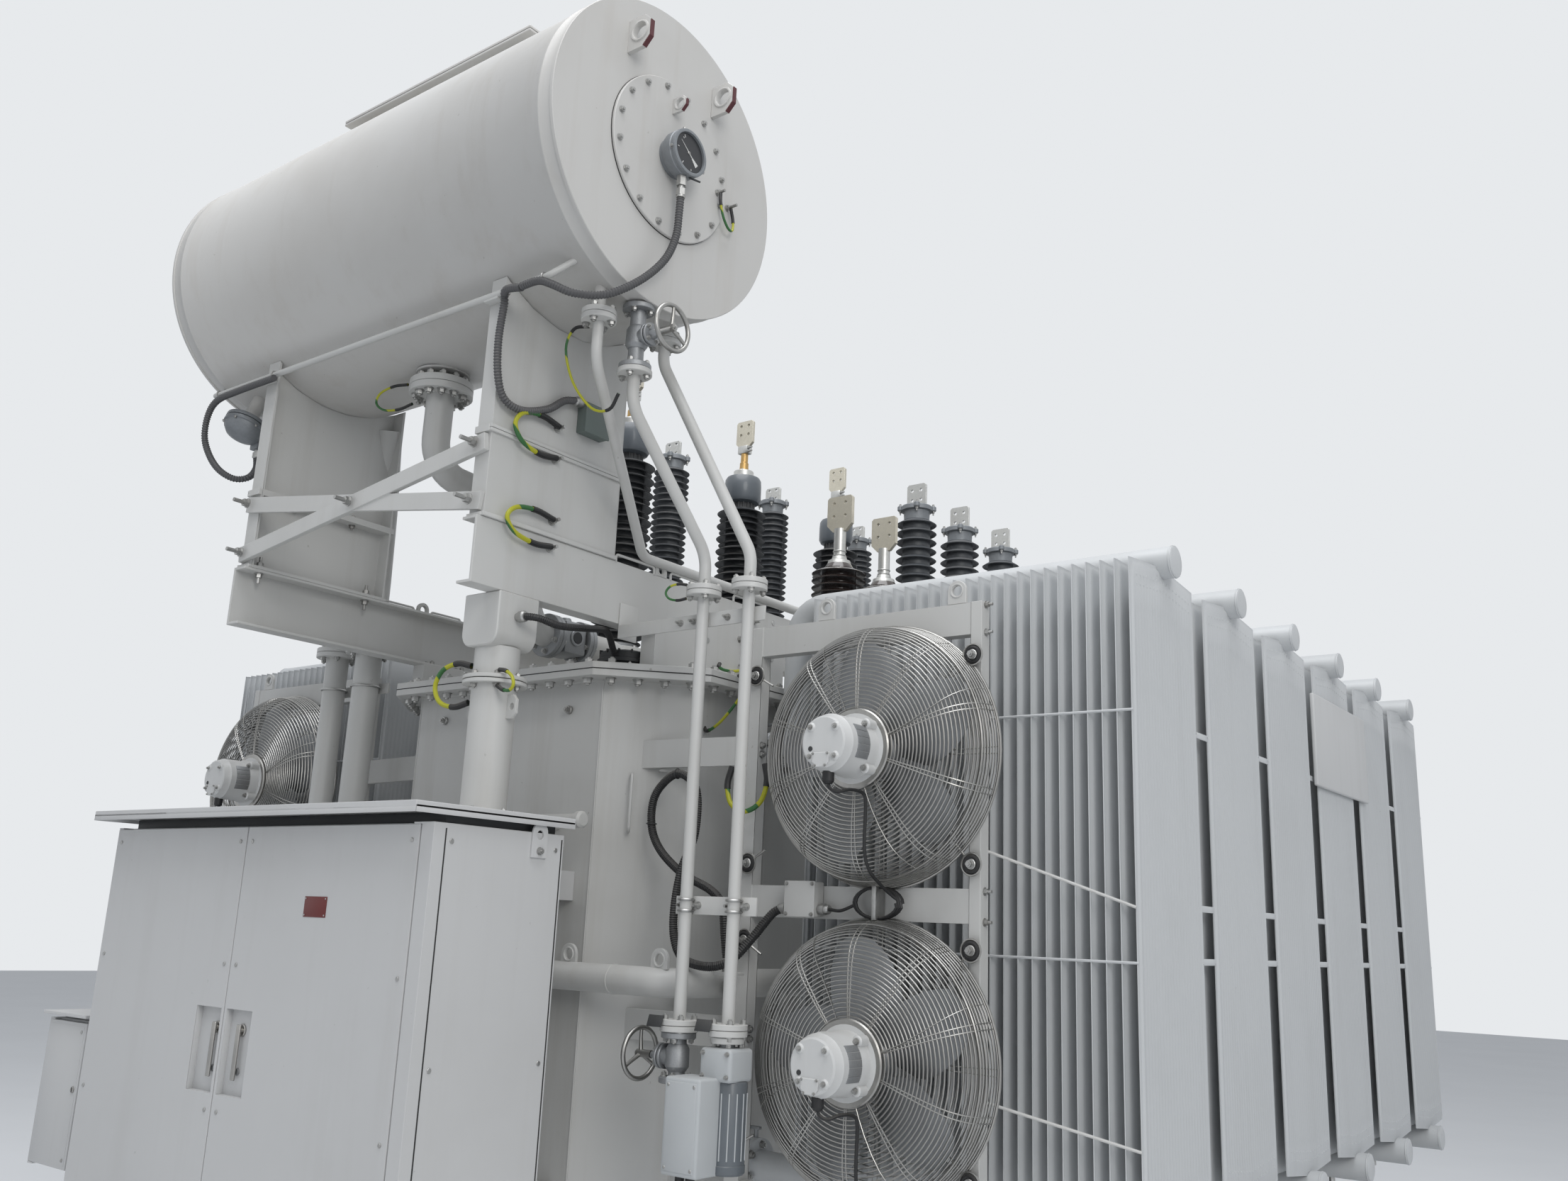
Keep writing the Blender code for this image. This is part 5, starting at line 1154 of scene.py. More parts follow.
# the level gauge
build = Build("oilGauge")
low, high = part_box("level_gauge")
y, z = (low.y + high.y) / 2, (low.z + high.z) / 2
r, back, front = 0.0825, 1.1127, 1.1944
profile = [
  (0, front - 0.01), (r - 0.013, front - 0.01), (r - 0.012, front - 0.001), (r - 0.009, front),
  (r - 0.001, front - 0.002), (r, front - 0.01), (r - 0.003, front - 0.013), (r - 0.003, front - 0.022),
  (r - 0.0005, front - 0.025), (r - 0.0005, front - 0.05), (r - 0.006, front - 0.062),
  (r - 0.014, front - 0.066), (r - 0.014, back), (0, back),
]
build.lathe(profile, (0, y, z), "gauge", axisX, 56)
build.disc((front - 0.0096, y, z), axisX, r - 0.0133, 0.0016, "gaugeFace", 0, 56)
start = Vector((front - 0.0084, y, z))
for angle, inner, outer in (
  (-0.45, 0.052, 0.062), (-0.62, 0.05, 0.056), (-1.57, 0.05, 0.058), (-2.6, 0.05, 0.06), (2.9, 0.056, 0.062),
):
  way = Vector((0, sin(angle), cos(angle)))
  build.tube([start + way * inner, start + way * outer], 0.0014, "gaugeMark", 6)
way = Vector((0, 0.787, -0.617))
build.tube([start - way * 0.052, start, start + way * 0.02], [0.0008, 0.002, 0.0022], "gaugeMark", 6)
side = Vector((0, -way.z, way.y))
tail = ((0.02, 0.003), (0.052, 0.009), (0.052, -0.009), (0.02, -0.003))
tail = [start + way * far + side * wide for far, wide in tail]
sides = [(0, 1, 2, 3), (7, 6, 5, 4), (0, 4, 5, 1), (1, 5, 6, 2), (2, 6, 7, 3), (3, 7, 4, 0)]
build.faces([p + Vector((dx, 0, 0)) for dx in (-0.0008, 0.0006) for p in tail], sides, "gaugeMark")
build.disc(start, axisX, 0.006, 0.004, "steel", 0.001, 16)
for angle in (0.5, 1.9, 3.3, 5.9):
  way = Vector((0, cos(angle), sin(angle)))
  build.bolts([Vector((front - 0.012, y, z)) + way * (r - 0.002)], tuple(way), 0.01)
# latch low on the rim, then the gland with its two nuts
build.tube([(front - 0.02, y + 0.02, z - r + 0.004), (front, y + 0.055, z - r - 0.002)], 0.0035, "cap", 8)
gx = 1.16  # the gland's middle
for radius, high, low in (
  (0.0175, 0.012, -0.034), (0.0105, -0.03, -0.05), (0.017, -0.046, -0.07), (0.015, -0.068, -0.078),
):
  sides = 6 if radius > 0.016 else 16
  build.lathe([(0, high), (radius, high), (radius, low), (0, low)], (gx, y, z - r), "zinc", axisZ, sides)
# the conduit that hangs from the gauge and runs back along the rail
path = [(gx, y, z - r - 0.074), (gx, y - 0.002, 3.95), (gx, y - 0.01, 3.86), (1.155, -2.65, 3.76),
  (1.135, -2.735, 3.655)]
path += [(1.09, -2.835, 3.575), (1.03, -2.915, 3.56), (0.96, -2.95, 3.595), (0.9, -2.954, 3.622),
  (0.82, -2.955, 3.624)]
build.ridged(smoothPath(path, 8), **flexTube)
build.done("level_gauge", smooth=38)

print("conservator done")

# Conduits, instruments, straps and leg joints
build = Build("fixedConduits")
# along the rail and down beside the right leg into its dark box
path = [(0.82, -2.953, 3.622), (0.74, -2.95, 3.634), (0.712, -2.928, 3.6), (0.71, -2.935, 3.471),
  (0.71, -2.923, 3.353)]
path += [(0.71, -2.888, 3.284), (0.71, -2.81, 3.27), (0.71, -2.699, 3.312), (0.71, -2.628, 3.367),
  (0.71, -2.575, 3.386)]
build.ridged(smoothPath(path, 8), **flexTube)
gland = Sizes(finish="zinc", tall=0.04, tip=0.012, wide=0.018, neck=0.013)
build.gland((0.71, -2.54, 3.385), faceFront, **gland)
build.block((0.6855, -2.54, 3.285), (0.724, -2.425, 3.39), "boxGreen", 0.003)
build.block((0.7245, -2.542, 3.283), (0.732, -2.423, 3.392), "boxGreen", 0.002)
# round instrument below the left end, its small box and its grey loop
out = Vector((0, -0.34, -0.94)).normalized()
axis = Vector((-0.93, -2.6, 4.168))
build.tube([axis + out * 0.535, axis + out * 0.655], 0.03, "conservator", 18)
body = [(0, 0.735), (0.03, 0.735), (0.062, 0.722), (0.078, 0.702), (0.08, 0.69), (0.086, 0.688), (0.086, 0.674)]
body += [(0.08, 0.673), (0.08, 0.67), (0.086, 0.669), (0.086, 0.655), (0.03, 0.65), (0, 0.65)]
build.lathe(body, axis, "gauge", out, 36)
build.boltRing(axis + out * 0.688, 0.083, 6, out, 0.009, facing=tuple(out))
spot = Vector((-0.928, -2.765, 3.472))
build.block(spot - Vector((0.026, 0.022, 0.022)), spot + Vector((0.026, 0.05, 0.03)), "gauge", 0.004)
build.gland(spot - upBy(0.02), faceDown, **gland)
path = [(-0.56, -2.953, 3.616), (-0.8, -2.955, 3.614), (-0.95, -2.953, 3.606), (-1.02, -2.945, 3.56),
  (-1.05, -2.93, 3.48)]
path += [(-1.02, -2.915, 3.4), (-0.955, -2.9, 3.33), (-0.905, -2.86, 3.297), (-0.88, -2.815, 3.312),
  (-0.905, -2.775, 3.365)]
build.ridged(smoothPath([*path, (spot.x, spot.y, 3.416)], 8), **flexTube)
# straps across the joints of the right leg
for y, low, high, bend in ((-2.626, 3.16, 3.272, 0.205), (-2.616, 2.852, 2.946, 0.212)):
  build.bolts([(0.6852, y, z) for z in (low, high)], axisX, 0.022, thread=1.0)
  earthStrap(build, (0.702, y - 0.006, high), (0.702, y - 0.006, low), (0.014, -bend, 0.0), 0.008)
# thinner straps at the big flange and at the outlets
earthStrap(build, (-0.1, -2.68, 3.586), (-0.06, -2.68, 3.5), (-0.19, -0.01, 0.0), 0.0045)
earthStrap(build, (0.92, -2.74, 3.545), (1.03, -2.69, 3.303), (-0.135, 0.0, -0.05), 0.0045)
# ledges at the joints of the legs, with their bolts
for side in (-1, 1):
  for low, high in ((3.1706, 3.182), (3.1832, 3.1946), (2.8856, 2.9)):
    near, far = sorted((side * 0.684, side * 0.695))
    build.block((near, -2.915, low), (far, -2.305, high), "paint", 0.0015)
  near, far = sorted((side * 0.684, side * 0.6935))
  build.block((near, -2.913, 3.1815), (far, -2.307, 3.1837), "gasket", 0)
  for y in (-2.73, -2.47):
    build.bolts([(side * 0.655, y, 3.1946)], axisZ, 0.018)
    build.bolts([(side * 0.655, y, 3.1706)], faceDown, 0.018)
  for y in (-2.855, -2.378):
    build.bolts([(side * 0.64, y, 2.9)], axisZ, 0.022, thread=1.0)
    build.bolts([(side * 0.64, y, 2.874)], faceDown, 0.022, thread=1.0)
for x, z in ((-0.645, 3.131), (0.645, 3.131), (-0.645, 2.939), (0.645, 2.939), (0.0, 3.035)):
  build.bolts([(x, -2.9375, z)], faceFront, 0.026, thread=1.5)
build.done()

print("conduits done")


# Handles, lugs and bolts on the support beams

beamSizes = Sizes(x=0.685, wall=0.01, low=2.6653, high=2.8853)

s = beamSizes
build = Build("beamDetails")
for side in (-1, 1):
  x = side * s.x
  # bent rod handles along the top flange, and the lifting eye between them
  for start, end in ((-2.3, -2.1), (-2.01, -1.85), (-1.64, -1.44)):
    lift = 0.024
    path = [(x, start, s.high - 0.004), (x, start, s.high + lift), (x, end, s.high + lift),
      (x, end, s.high - 0.004)]
    build.tube(roundedPath(path, 0.012, 5), 0.0048, "paint", 8)
  eyeLug(build, (-2.06, s.high - 0.004, x - side * 0.006), "YZ", 0.06, 0.056, 0.015, 0.012)
  # bolts near the rear end of the beam, and small studs
  for y, z in ((-1.59, 2.742), (-1.51, 2.826)):
    build.bolts([(x + side * 0.0005, y, z)], (side, 0, 0), 0.018, thread=1.2)
  for y in (-1.78, -1.38):
    for z in (2.7, 2.85):
      build.disc((x + side * 0.0006, y, z), axisX, 0.011, 0.002, "zinc", 0.0005, 14)
  # bolts that hold the packers to the cover
  for y in (-2.02, -1.86, -1.7, -1.54, -1.38):
    for px in (x - side * 0.055, x - side * 0.015):
      build.bolts([(px, y, s.low + s.wall)], axisZ, 0.016)
earthStrap(build, (0.7, -1.72, 2.62), (0.7, -1.6, 2.64), (0.018, 0, -0.03), 0.006)
build.done()


# Oil pipes


def surfaceBelow(y):
  s = conservatorSizes
  return s.z - sqrt(s.radius ** 2 - (y - s.y) ** 2)


mainPipe = Sizes(radius=0.052, flange=0.118, run=3.25, dropY=-2.08, relayZ=2.75, relayY=-1.87, endY=-1.5,
  cover=2.5506)

s = mainPipe
build = Build("mainPipe")
top = surfaceBelow(-2.6)
path = [
  (0, -2.6, top - 0.02), (0, -2.6, s.run), (0, s.dropY, s.run - 0.03), (0, s.dropY, s.relayZ),
  (0, s.endY, s.relayZ), (0, s.endY, s.cover + 0.01),
]
build.tube(roundedPath(path, 0.13, 9), s.radius, "paint", 28)
build.flange((0, -2.6, top - 0.055), axisZ, s.flange, 0.052, "paint", 12, 0.024)
for y in (-2.3, -2.38):
  build.hoop((0, y, s.run - 0.018), axisY, s.radius + 0.0006, 0.0025, "paint", 32, 6)
build.lathe([(s.radius, 0.02), (0.095, 0.018), (0.095, 0), (0, 0)], (0, s.endY, s.cover), "paint", sides=28)
build.boltRing((0, s.endY, s.cover + 0.018), 0.078, 8, axisZ, 0.018)
# the gas relay: a squat casting between two flanges, with a window each side and a cap
y, z = s.relayY, s.relayZ
build.block((-0.07, y - 0.058, z - 0.066), (0.07, y + 0.058, z + 0.066), "casting", 0.012)
for way in (-1, 1):
  build.flange((0, y + way * 0.085, z), axisY, 0.088, 0.04, "casting", 6, 0.018)
  build.disc((way * 0.072, y, z), axisX, 0.034, 0.012, "casting", 0.003, 24)
  build.disc((way * 0.079, y, z), axisX, 0.024, 0.003, "gaugeFace", 0.001, 24)
build.lathe([(0, 0.03), (0.02, 0.028), (0.024, 0.02), (0.024, 0), (0, 0)], (0, y, z + 0.06), "casting",
  sides=16)
build.done("main_oil_pipe")

dropPipes = Sizes(
  radius=0.02, x=(1.09, 1.283), y=-2.285, top=2.727, low=1.3353, flange=0.055, thick=0.036,
  outletX=(1.04, 0.925), outletY=(-2.635, -2.38), valveLow=3.4, straight=0.12, bend=(0.126, 0.105),
)


def dropPipe(index):
  s = dropPipes
  name = ("down_pipe_left", "down_pipe_right")[index]
  build = Build(("downPipeLeft", "downPipeRight")[index])
  x, y = s.x[index], s.y
  startX, startY = s.outletX[index], s.outletY[index]
  startZ = s.valveLow if index == 0 else surfaceBelow(startY) - 0.006
  path = [(startX, startY, startZ), (startX, startY, startZ - s.straight), (x, y, s.top + s.bend[index]),
    (x, y, s.low + 0.01)]
  build.tube(roundedPath(path, 0.14, 8), s.radius, "paint", 18)
  for z in (s.top, s.low + s.thick / 2):
    build.flange((x, y, z), axisZ, s.flange + 0.004, s.thick, "paint", 4, 0.016, first=0.79)
  if index == 0:
    build.disc((startX, startY, startZ - 0.009), axisZ, 0.058, 0.0175, "paint", 0.002)
    build.boltRing((startX, startY, startZ - 0.018), 0.042, 4, axisZ, 0.016, 0.4, facing=faceDown)
  else:
    build.flange((startX, startY, startZ - 0.035), axisZ, 0.058, 0.036, "paint", 4, 0.016)
  # name tag on the lower flange, left bare
  tag = Matrix.Translation((x - 0.045, y - 0.062, s.low + 0.03)) @ Matrix.Rotation(radians(-18), 4, "X")
  build.block((-0.03, -0.0006, -0.018), (0.03, 0.0006, 0.018), "cap", 0.0004, tag)
  build.tube([(x - 0.045, y - 0.058, s.low + 0.04), (x - 0.04, y - 0.05, s.low + 0.034)], 0.0015, "zinc", 6)
  if index == 0:
    # strap across the top flange
    earthStrap(build, (x - 0.05, y - 0.03, s.top + 0.024), (x - 0.046, y - 0.034, s.top - 0.024),
      (-0.075, -0.02, 0.0), 0.004)
  build.done(name)


dropPipe(0)
dropPipe(1)

s = dropPipes
build = Build("pipeBrackets")
left, right = s.x
y = s.y
# cross bracket between the down pipes and the fan frame
build.block((left - 0.06, y + 0.02, 1.686), (right + 0.07, y + 0.027, 1.742), "paint", 0.0015)
build.block((1.075, y + 0.027, 1.69), (1.082, -1.995, 1.738), "paint", 0.0015)
for x in (left, right):
  for z in (1.697, 1.731):
    build.hoop((x, y, z), axisZ, s.radius + 0.0042, 0.0042, "zinc", 20, 6)
  build.bolts([(x - 0.034, y + 0.02, 1.714), (x + 0.034, y + 0.02, 1.714)], faceFront, 0.016, thread=0.9)
# upper bracket from the support beam
build.block((0.686, y + 0.02, 2.612), (0.692, y + 0.11, 2.74), "paint", 0.0015)
build.block((0.69, y + 0.02, 2.612), (right + 0.052, y + 0.027, 2.66), "paint", 0.0015)
build.bolts([(x, y + 0.02, 2.636) for x in (0.978, 1.035, 1.182)], faceFront, 0.016, thread=0.9)
build.done()

leftPipes = Sizes(x=(-1.08, -0.86), y=-2.17, radius=(0.0475, 0.055), top=3.3, low=1.96, flangeZ=2.727,
  clampZ=2.57)

# two upright pipes between the left leg and the fan frame, turned in below the conservator
s = leftPipes
build = Build("leftPipePair")
for x, radius in zip(s.x, s.radius):
  path = [(x + 0.18, s.y - 0.16, s.top + 0.33), (x + 0.1, s.y - 0.08, s.top), (x, s.y, s.top - 0.28),
    (x, s.y, s.low)]
  build.tube(roundedPath(path, 0.16, 7), radius, "paint", 24)
  build.flange((x, s.y, s.flangeZ), axisZ, radius + 0.042, 0.04, "paint", 6, 0.018)
  build.hoop((x, s.y, s.clampZ), axisZ, radius + 0.004, 0.005, "zinc", 28, 6)
build.block((s.x[0] - 0.07, s.y + 0.056, s.clampZ - 0.022), (s.x[1] + 0.08, s.y + 0.064, s.clampZ + 0.022),
  "paint", 0.0015)
build.done()

thinPipe = Sizes(radius=0.018, top=(0.985, -2.76, 3.555), turn=(0.69, -2.17, 2.93), footY=-1.0, cover=2.5506)

s = thinPipe
build = Build("thinPipe")
x, y, z = s.top
turn = Vector(s.turn)
path = [(x, y, surfaceBelow(y) - 0.004), (x, y, z - 0.15), turn, (turn.x, s.footY, turn.z),
  (turn.x, s.footY, s.cover)]
build.tube(roundedPath(path, 0.09, 8), s.radius, "paint", 16)
build.flange((x, y, z), axisZ, 0.058, 0.038, "paint", 4, 0.018)
build.lathe([(0.018, 0.014), (0.05, 0.013), (0.05, 0), (0, 0)], (turn.x, s.footY, s.cover), "paint", sides=24)
build.done("thin_oil_pipe")


def gateValve(node, way):
  low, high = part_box(node)
  x = dropPipes.outletX[0] if way > 0 else dropPipes.x[0]
  y = (low.y + high.y) / 2
  middle = (low.z + high.z) / 2
  build = Build("gateValveUpper" if way > 0 else "gateValveLower")
  build.tube([(x, y, low.z + 0.004), (x, y, high.z - 0.004)], 0.026, "casting", 18)
  body = [(0, 0.042), (0.028, 0.04), (0.036, 0.026), (0.037, -0.026), (0.028, -0.04), (0, -0.042)]
  build.lathe(body, (x, y, middle), "casting", sides=24)
  for z, face in ((low.z + 0.01, 1), (high.z - 0.01, -1)):
    build.disc((x, y, z), axisZ, 0.054, 0.018, "casting", 0.002, 28)
    build.boltRing((x, y, z + face * 0.009), 0.041, 4, axisZ, 0.015, 0.4, facing=(0, 0, face))
  bonnet = [(0, 0.104), (0.01, 0.104), (0.012, 0.09), (0.016, 0.082), (0.02, 0.064), (0.02, 0.052),
    (0.028, 0.05), (0.028, 0.02), (0, 0.02)]
  build.lathe(bonnet, (x, y, middle), "casting", (way, 0, 0), 20)
  for reach in (0.05, 0.064):
    build.disc((x + way * reach, y, middle), axisX, 0.038, 0.01, "casting", 0.002, 24)
  build.boltRing((x + way * 0.069, y, middle), 0.029, 4, axisX, 0.011, 0.78, facing=(way, 0, 0))
  build.done(node)
  wheel = Build("handwheelUpper" if way > 0 else "handwheelLower", body=node.replace("valve", "handwheel"))
  low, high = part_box(node.replace("valve", "handwheel"))
  centre = Vector((high.x - 0.012 if way > 0 else low.x + 0.012, (low.y + high.y) / 2, (low.z + high.z) / 2))
  wheel.hoop(centre, axisX, 0.0765, 0.0078, "steel", 48, 12)
  wheel.tube([centre - Vector((way * 0.049, 0, 0)), centre + Vector((way * 0.011, 0, 0))], 0.0125, "steel", 14)
  wheel.bolts([centre + Vector((way * 0.006, 0, 0))], (way, 0, 0), 0.012)
  for i in range(3):
    angle = pi / 2 + tau * i / 3
    rim = centre + Vector((0, cos(angle), sin(angle))) * 0.0765
    wheel.tube([centre - Vector((way * 0.004, 0, 0)), centre.lerp(rim, 0.6), rim], [0.0075, 0.006, 0.0055],
      "steel", 10)
  wheel.done(node.replace("valve", "handwheel"))


gateValve("upper_valve", 1)
gateValve("lower_valve", -1)

# the breather
build = Build("breatherUnit")
x, y = dropPipes.x[1], dropPipes.y
top = 1.3346
headLow = top - 0.125
build.disc((x, y, top - 0.01), axisZ, 0.05, 0.018, "paint", 0.002)
build.boltRing((x, y, top - 0.019), 0.039, 4, axisZ, 0.014, 0.79, facing=faceDown)
build.tube([(x, y, headLow + 0.09), (x, y, top - 0.015)], 0.024, "casting", 18)
build.block((x - 0.06, y - 0.055, headLow), (x + 0.06, y + 0.055, headLow + 0.095), "boxGrey", 0.012,
  segments=3)
build.bolts([(x + dx, y - 0.055, headLow + dz) for dx in (-0.046, 0.046) for dz in (0.016, 0.08)], faceFront,
  0.01)
px, py = x + 0.01, y + 0.01
pot = [(0, 0.0), (0.05, 0.0), (0.053, -0.006), (0.053, -0.23), (0.055, -0.232), (0.055, -0.252), (0.05, -0.258),
  (0, -0.258)]
build.lathe(pot, (px, py, headLow + 0.002), "capGrey", sides=32)
for i in range(14):
  angle = tau * i / 14
  spot = Vector((px + 0.0532 * cos(angle), py + 0.0532 * sin(angle), headLow))
  build.tube([spot + upBy(-0.03), spot + upBy(-0.215)], 0.0022, "boxGrey", 5)
low = (x - 0.12, y - 0.055 - 0.08, headLow - 0.258)
high = (x + 0.015, y - 0.055 + 0.035, headLow + 0.012)
build.block(low, high, "boxGrey", 0.008, segments=3)
build.block((low[0] + 0.01, low[1] - 0.003, low[2] + 0.012), (high[0] - 0.01, low[1] + 0.004, high[2] - 0.012),
  "boxGrey", 0.003)
for dx in (0.018, 0.117):
  for z in (low[2] + 0.022, high[2] - 0.022):
    build.disc((low[0] + dx, low[1] - 0.0035, z), axisY, 0.005, 0.003, "zinc", 0.001, 10)
for dx in (0.035, 0.075):
  build.gland((low[0] + dx, low[1] + 0.05, low[2]), faceDown, "rubber", 0.03, 0.011, 0.014)
build.done("breather")

print("pipes done")


# Pipe round the front of the tank, and the black loop that hangs above it

ringPipe = Sizes(radius=0.047, z=1.47, y=-2.195, startX=-0.6, turnX=0.975, endY=-1.2, wall=0.7503,
  front=-2.1403)

s = ringPipe
build = Build("tankRingPipe")
z = s.z
path = [(s.startX, s.front, z), (s.startX, s.y, z), (s.turnX, s.y, z), (s.turnX, s.endY, z),
  (s.wall, s.endY, z)]
build.tube(roundedPath(path, 0.1, 9), s.radius, "paint", 24)
build.tube([(s.startX - 0.03, s.y, z), (s.startX + 0.01, s.y, z)], s.radius, "paint", 24)
for x in (0.5, 0.915):
  eyeLug(build, (x, z + s.radius - 0.006, s.y), "XZ", 0.072, 0.066, 0.018, 0.012)
for x in (-0.2, 0.35, 0.72):
  build.hoop((x, s.y, z), axisX, s.radius + 0.0004, 0.0022, "paint", 32, 6)
for y in (-1.95, -1.45):
  build.block((s.wall + 0.002, y - 0.04, z - 0.012), (s.turnX - 0.02, y + 0.04, z - 0.004), "paint")
build.done("tank_pipe")

# the black loop
build = Build("blackLoopConduit")
path = [
  (1.096, -2.075, 1.545), (1.086, -2.08, 1.62), (1.072, -2.085, 1.718), (1.017, -2.085, 1.769),
  (0.889, -2.08, 1.82), (0.771, -2.07, 1.901), (0.715, -2.06, 1.99), (0.728, -2.06, 2.095),
  (0.824, -2.062, 2.16), (0.915, -2.065, 2.103), (0.938, -2.085, 1.954), (0.918, -2.12, 1.834),
  (0.91, -2.135, 1.715), (0.92, -2.14, 1.615), (0.968, -2.145, 1.548), (1.07, -2.145, 1.527),
  (1.152, -2.13, 1.548), (1.205, -2.09, 1.62), (1.24, -2.04, 1.695), (1.262, -2.022, 1.716),
]
build.ridged(smoothPath(path, 8), 0.015, "rubber", 0.0075, 0.13)
build.gland((1.096, -2.075, 1.512), axisZ, "zinc", 0.042, 0.016, 0.021, 0.016, 14)
build.block((1.06, -2.1, 1.502), (1.132, -2.03, 1.512), "paint", 0.0015)
build.block((1.06, -2.036, 1.3), (1.068, -1.996, 1.512), "paint", 0.0015)
for x, y, z in ((0.715, -2.06, 1.99), (0.824, -2.062, 2.16)):
  build.hoop((x, y, z), axisZ if z < 2.1 else axisX, 0.017, 0.0022, "cap", 18, 6)
build.done()


# Cable duct from the beam to the cabinet

ductSizes = Sizes(x=0.605, y=-2.725, top=2.665, box=0.17, low=2.49, radius=0.073, flange=0.103, flangeZ=2.385,
  foot=1.9573)

s = ductSizes
build = Build("cableDuctPipe")
x, y, half = s.x, s.y, s.box / 2
cut = 0.045
turns = ((-1, pi), (1, 1.5 * pi))
corners = [circlePoints((x + way * (half - cut), s.low + cut), cut, 6, first, pi / 2) for way, first in turns]
outline = [(x - half, s.top), *corners[0], *corners[1], (x + half, s.top)]
build.plate(outline, "XZ", y - half, y + half, "paint", bevel=0.004)
build.tube([(x, y, s.low + 0.004), (x, y, s.foot + 0.002)], s.radius, "paint", 36)
build.flange((x, y, s.flangeZ), axisZ, s.flange, 0.028, "paint", 6, 0.016, gap=0.003)
build.lathe([(s.radius, 0.012), (0.112, 0.011), (0.112, 0), (0, 0)], (x, y, s.foot), "paint", sides=36)
build.boltRing((x, y, s.foot + 0.011), 0.096, 6, axisZ, 0.014)
for way in (-1, 1):
  outline = [(x + way * 0.07, 2.262), (x + way * 0.1, 2.262), (x + way * 0.116, 2.278),
    (x + way * 0.116, 2.322)]
  outline += [(x + way * 0.1, 2.338), (x + way * 0.07, 2.338)]
  build.plate(outline, "XZ", y - 0.006, y + 0.006, "paint", [circlePoints((x + way * 0.096, 2.3), 0.011, 16)])
# bent cable from the box to the relief device
build.gland((x + half, y - 0.005, 2.59), axisX, "zinc", 0.04, 0.015, 0.019, 0.014, 14)
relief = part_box("relief_device")
end = ((relief[0].x + relief[1].x) / 2 + 0.03, relief[0].y + 0.02, relief[0].z + 0.04)
path = [(x + half + 0.035, y - 0.005, 2.59), (x + half + 0.075, y + 0.02, 2.584),
  (x + half + 0.085, y + 0.1, 2.575)]
path += [(x + half + 0.055, y + 0.24, 2.598), (0.65, -2.3, 2.64), (0.6, -2.22, 2.64), (0.55, -2.15, 2.62), end]
build.ridged(smoothPath(path, 8), 0.0125, "rubber", 0.0065, 0.12)
earthStrap(build, (x - 0.085, y - 0.03, 2.44), (x - 0.085, y - 0.03, 2.32), (-0.15, -0.02, 0), 0.008)
earthStrap(build, (x + 0.075, y - 0.05, 2.412), (x + 0.07, y - 0.05, 2.362), (0.085, -0.01, -0.03), 0.0055)
build.done("cable_duct")

# the relief device
build = Build("pressureRelief")
low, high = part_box("relief_device")
x, y, base = (low.x + high.x) / 2, (low.y + high.y) / 2, low.z
r, tall = (high.x - low.x) / 2, high.z - low.z
profile = [(0, tall), (r * 0.2, tall), (r * 0.24, tall * 0.95), (r * 0.8, tall * 0.86), (r * 0.93, tall * 0.78),
  (r * 0.93, tall * 0.5)]
profile += [(r, tall * 0.46), (r, tall * 0.3), (r * 0.9, tall * 0.26), (r * 0.9, 0.012)]
build.lathe([*profile, (r * 0.98, 0.012), (r * 0.98, 0), (0, 0)], (x, y, base), "cap", sides=40)
for i in range(12):
  angle = tau * i / 12
  way = Vector((cos(angle), sin(angle), 0))
  spot = Vector((x, y, base + tall * 0.8)) + way * r * 0.86
  build.block((-0.004, -0.003, -0.008), (0.01, 0.003, 0.006), "cap", 0.001,
    Matrix.Translation(spot) @ Matrix.Rotation(angle, 4, "Z"))
build.boltRing((x, y, base + 0.012), r * 0.94, 8, axisZ, 0.011, 0.2)
build.done("relief_device")

print("duct done")


# Control cabinet doors, their pockets and handles, and the small door of the side box

doorSizes = Sizes(
  front=-3.115, back=-3.085, low=0.626, high=1.899, left=-0.865, split=-0.053, right=0.804, gap=0.006,
  pocket=(1.095, 1.345), pocketWidth=0.15, pocketDepth=0.022,
)


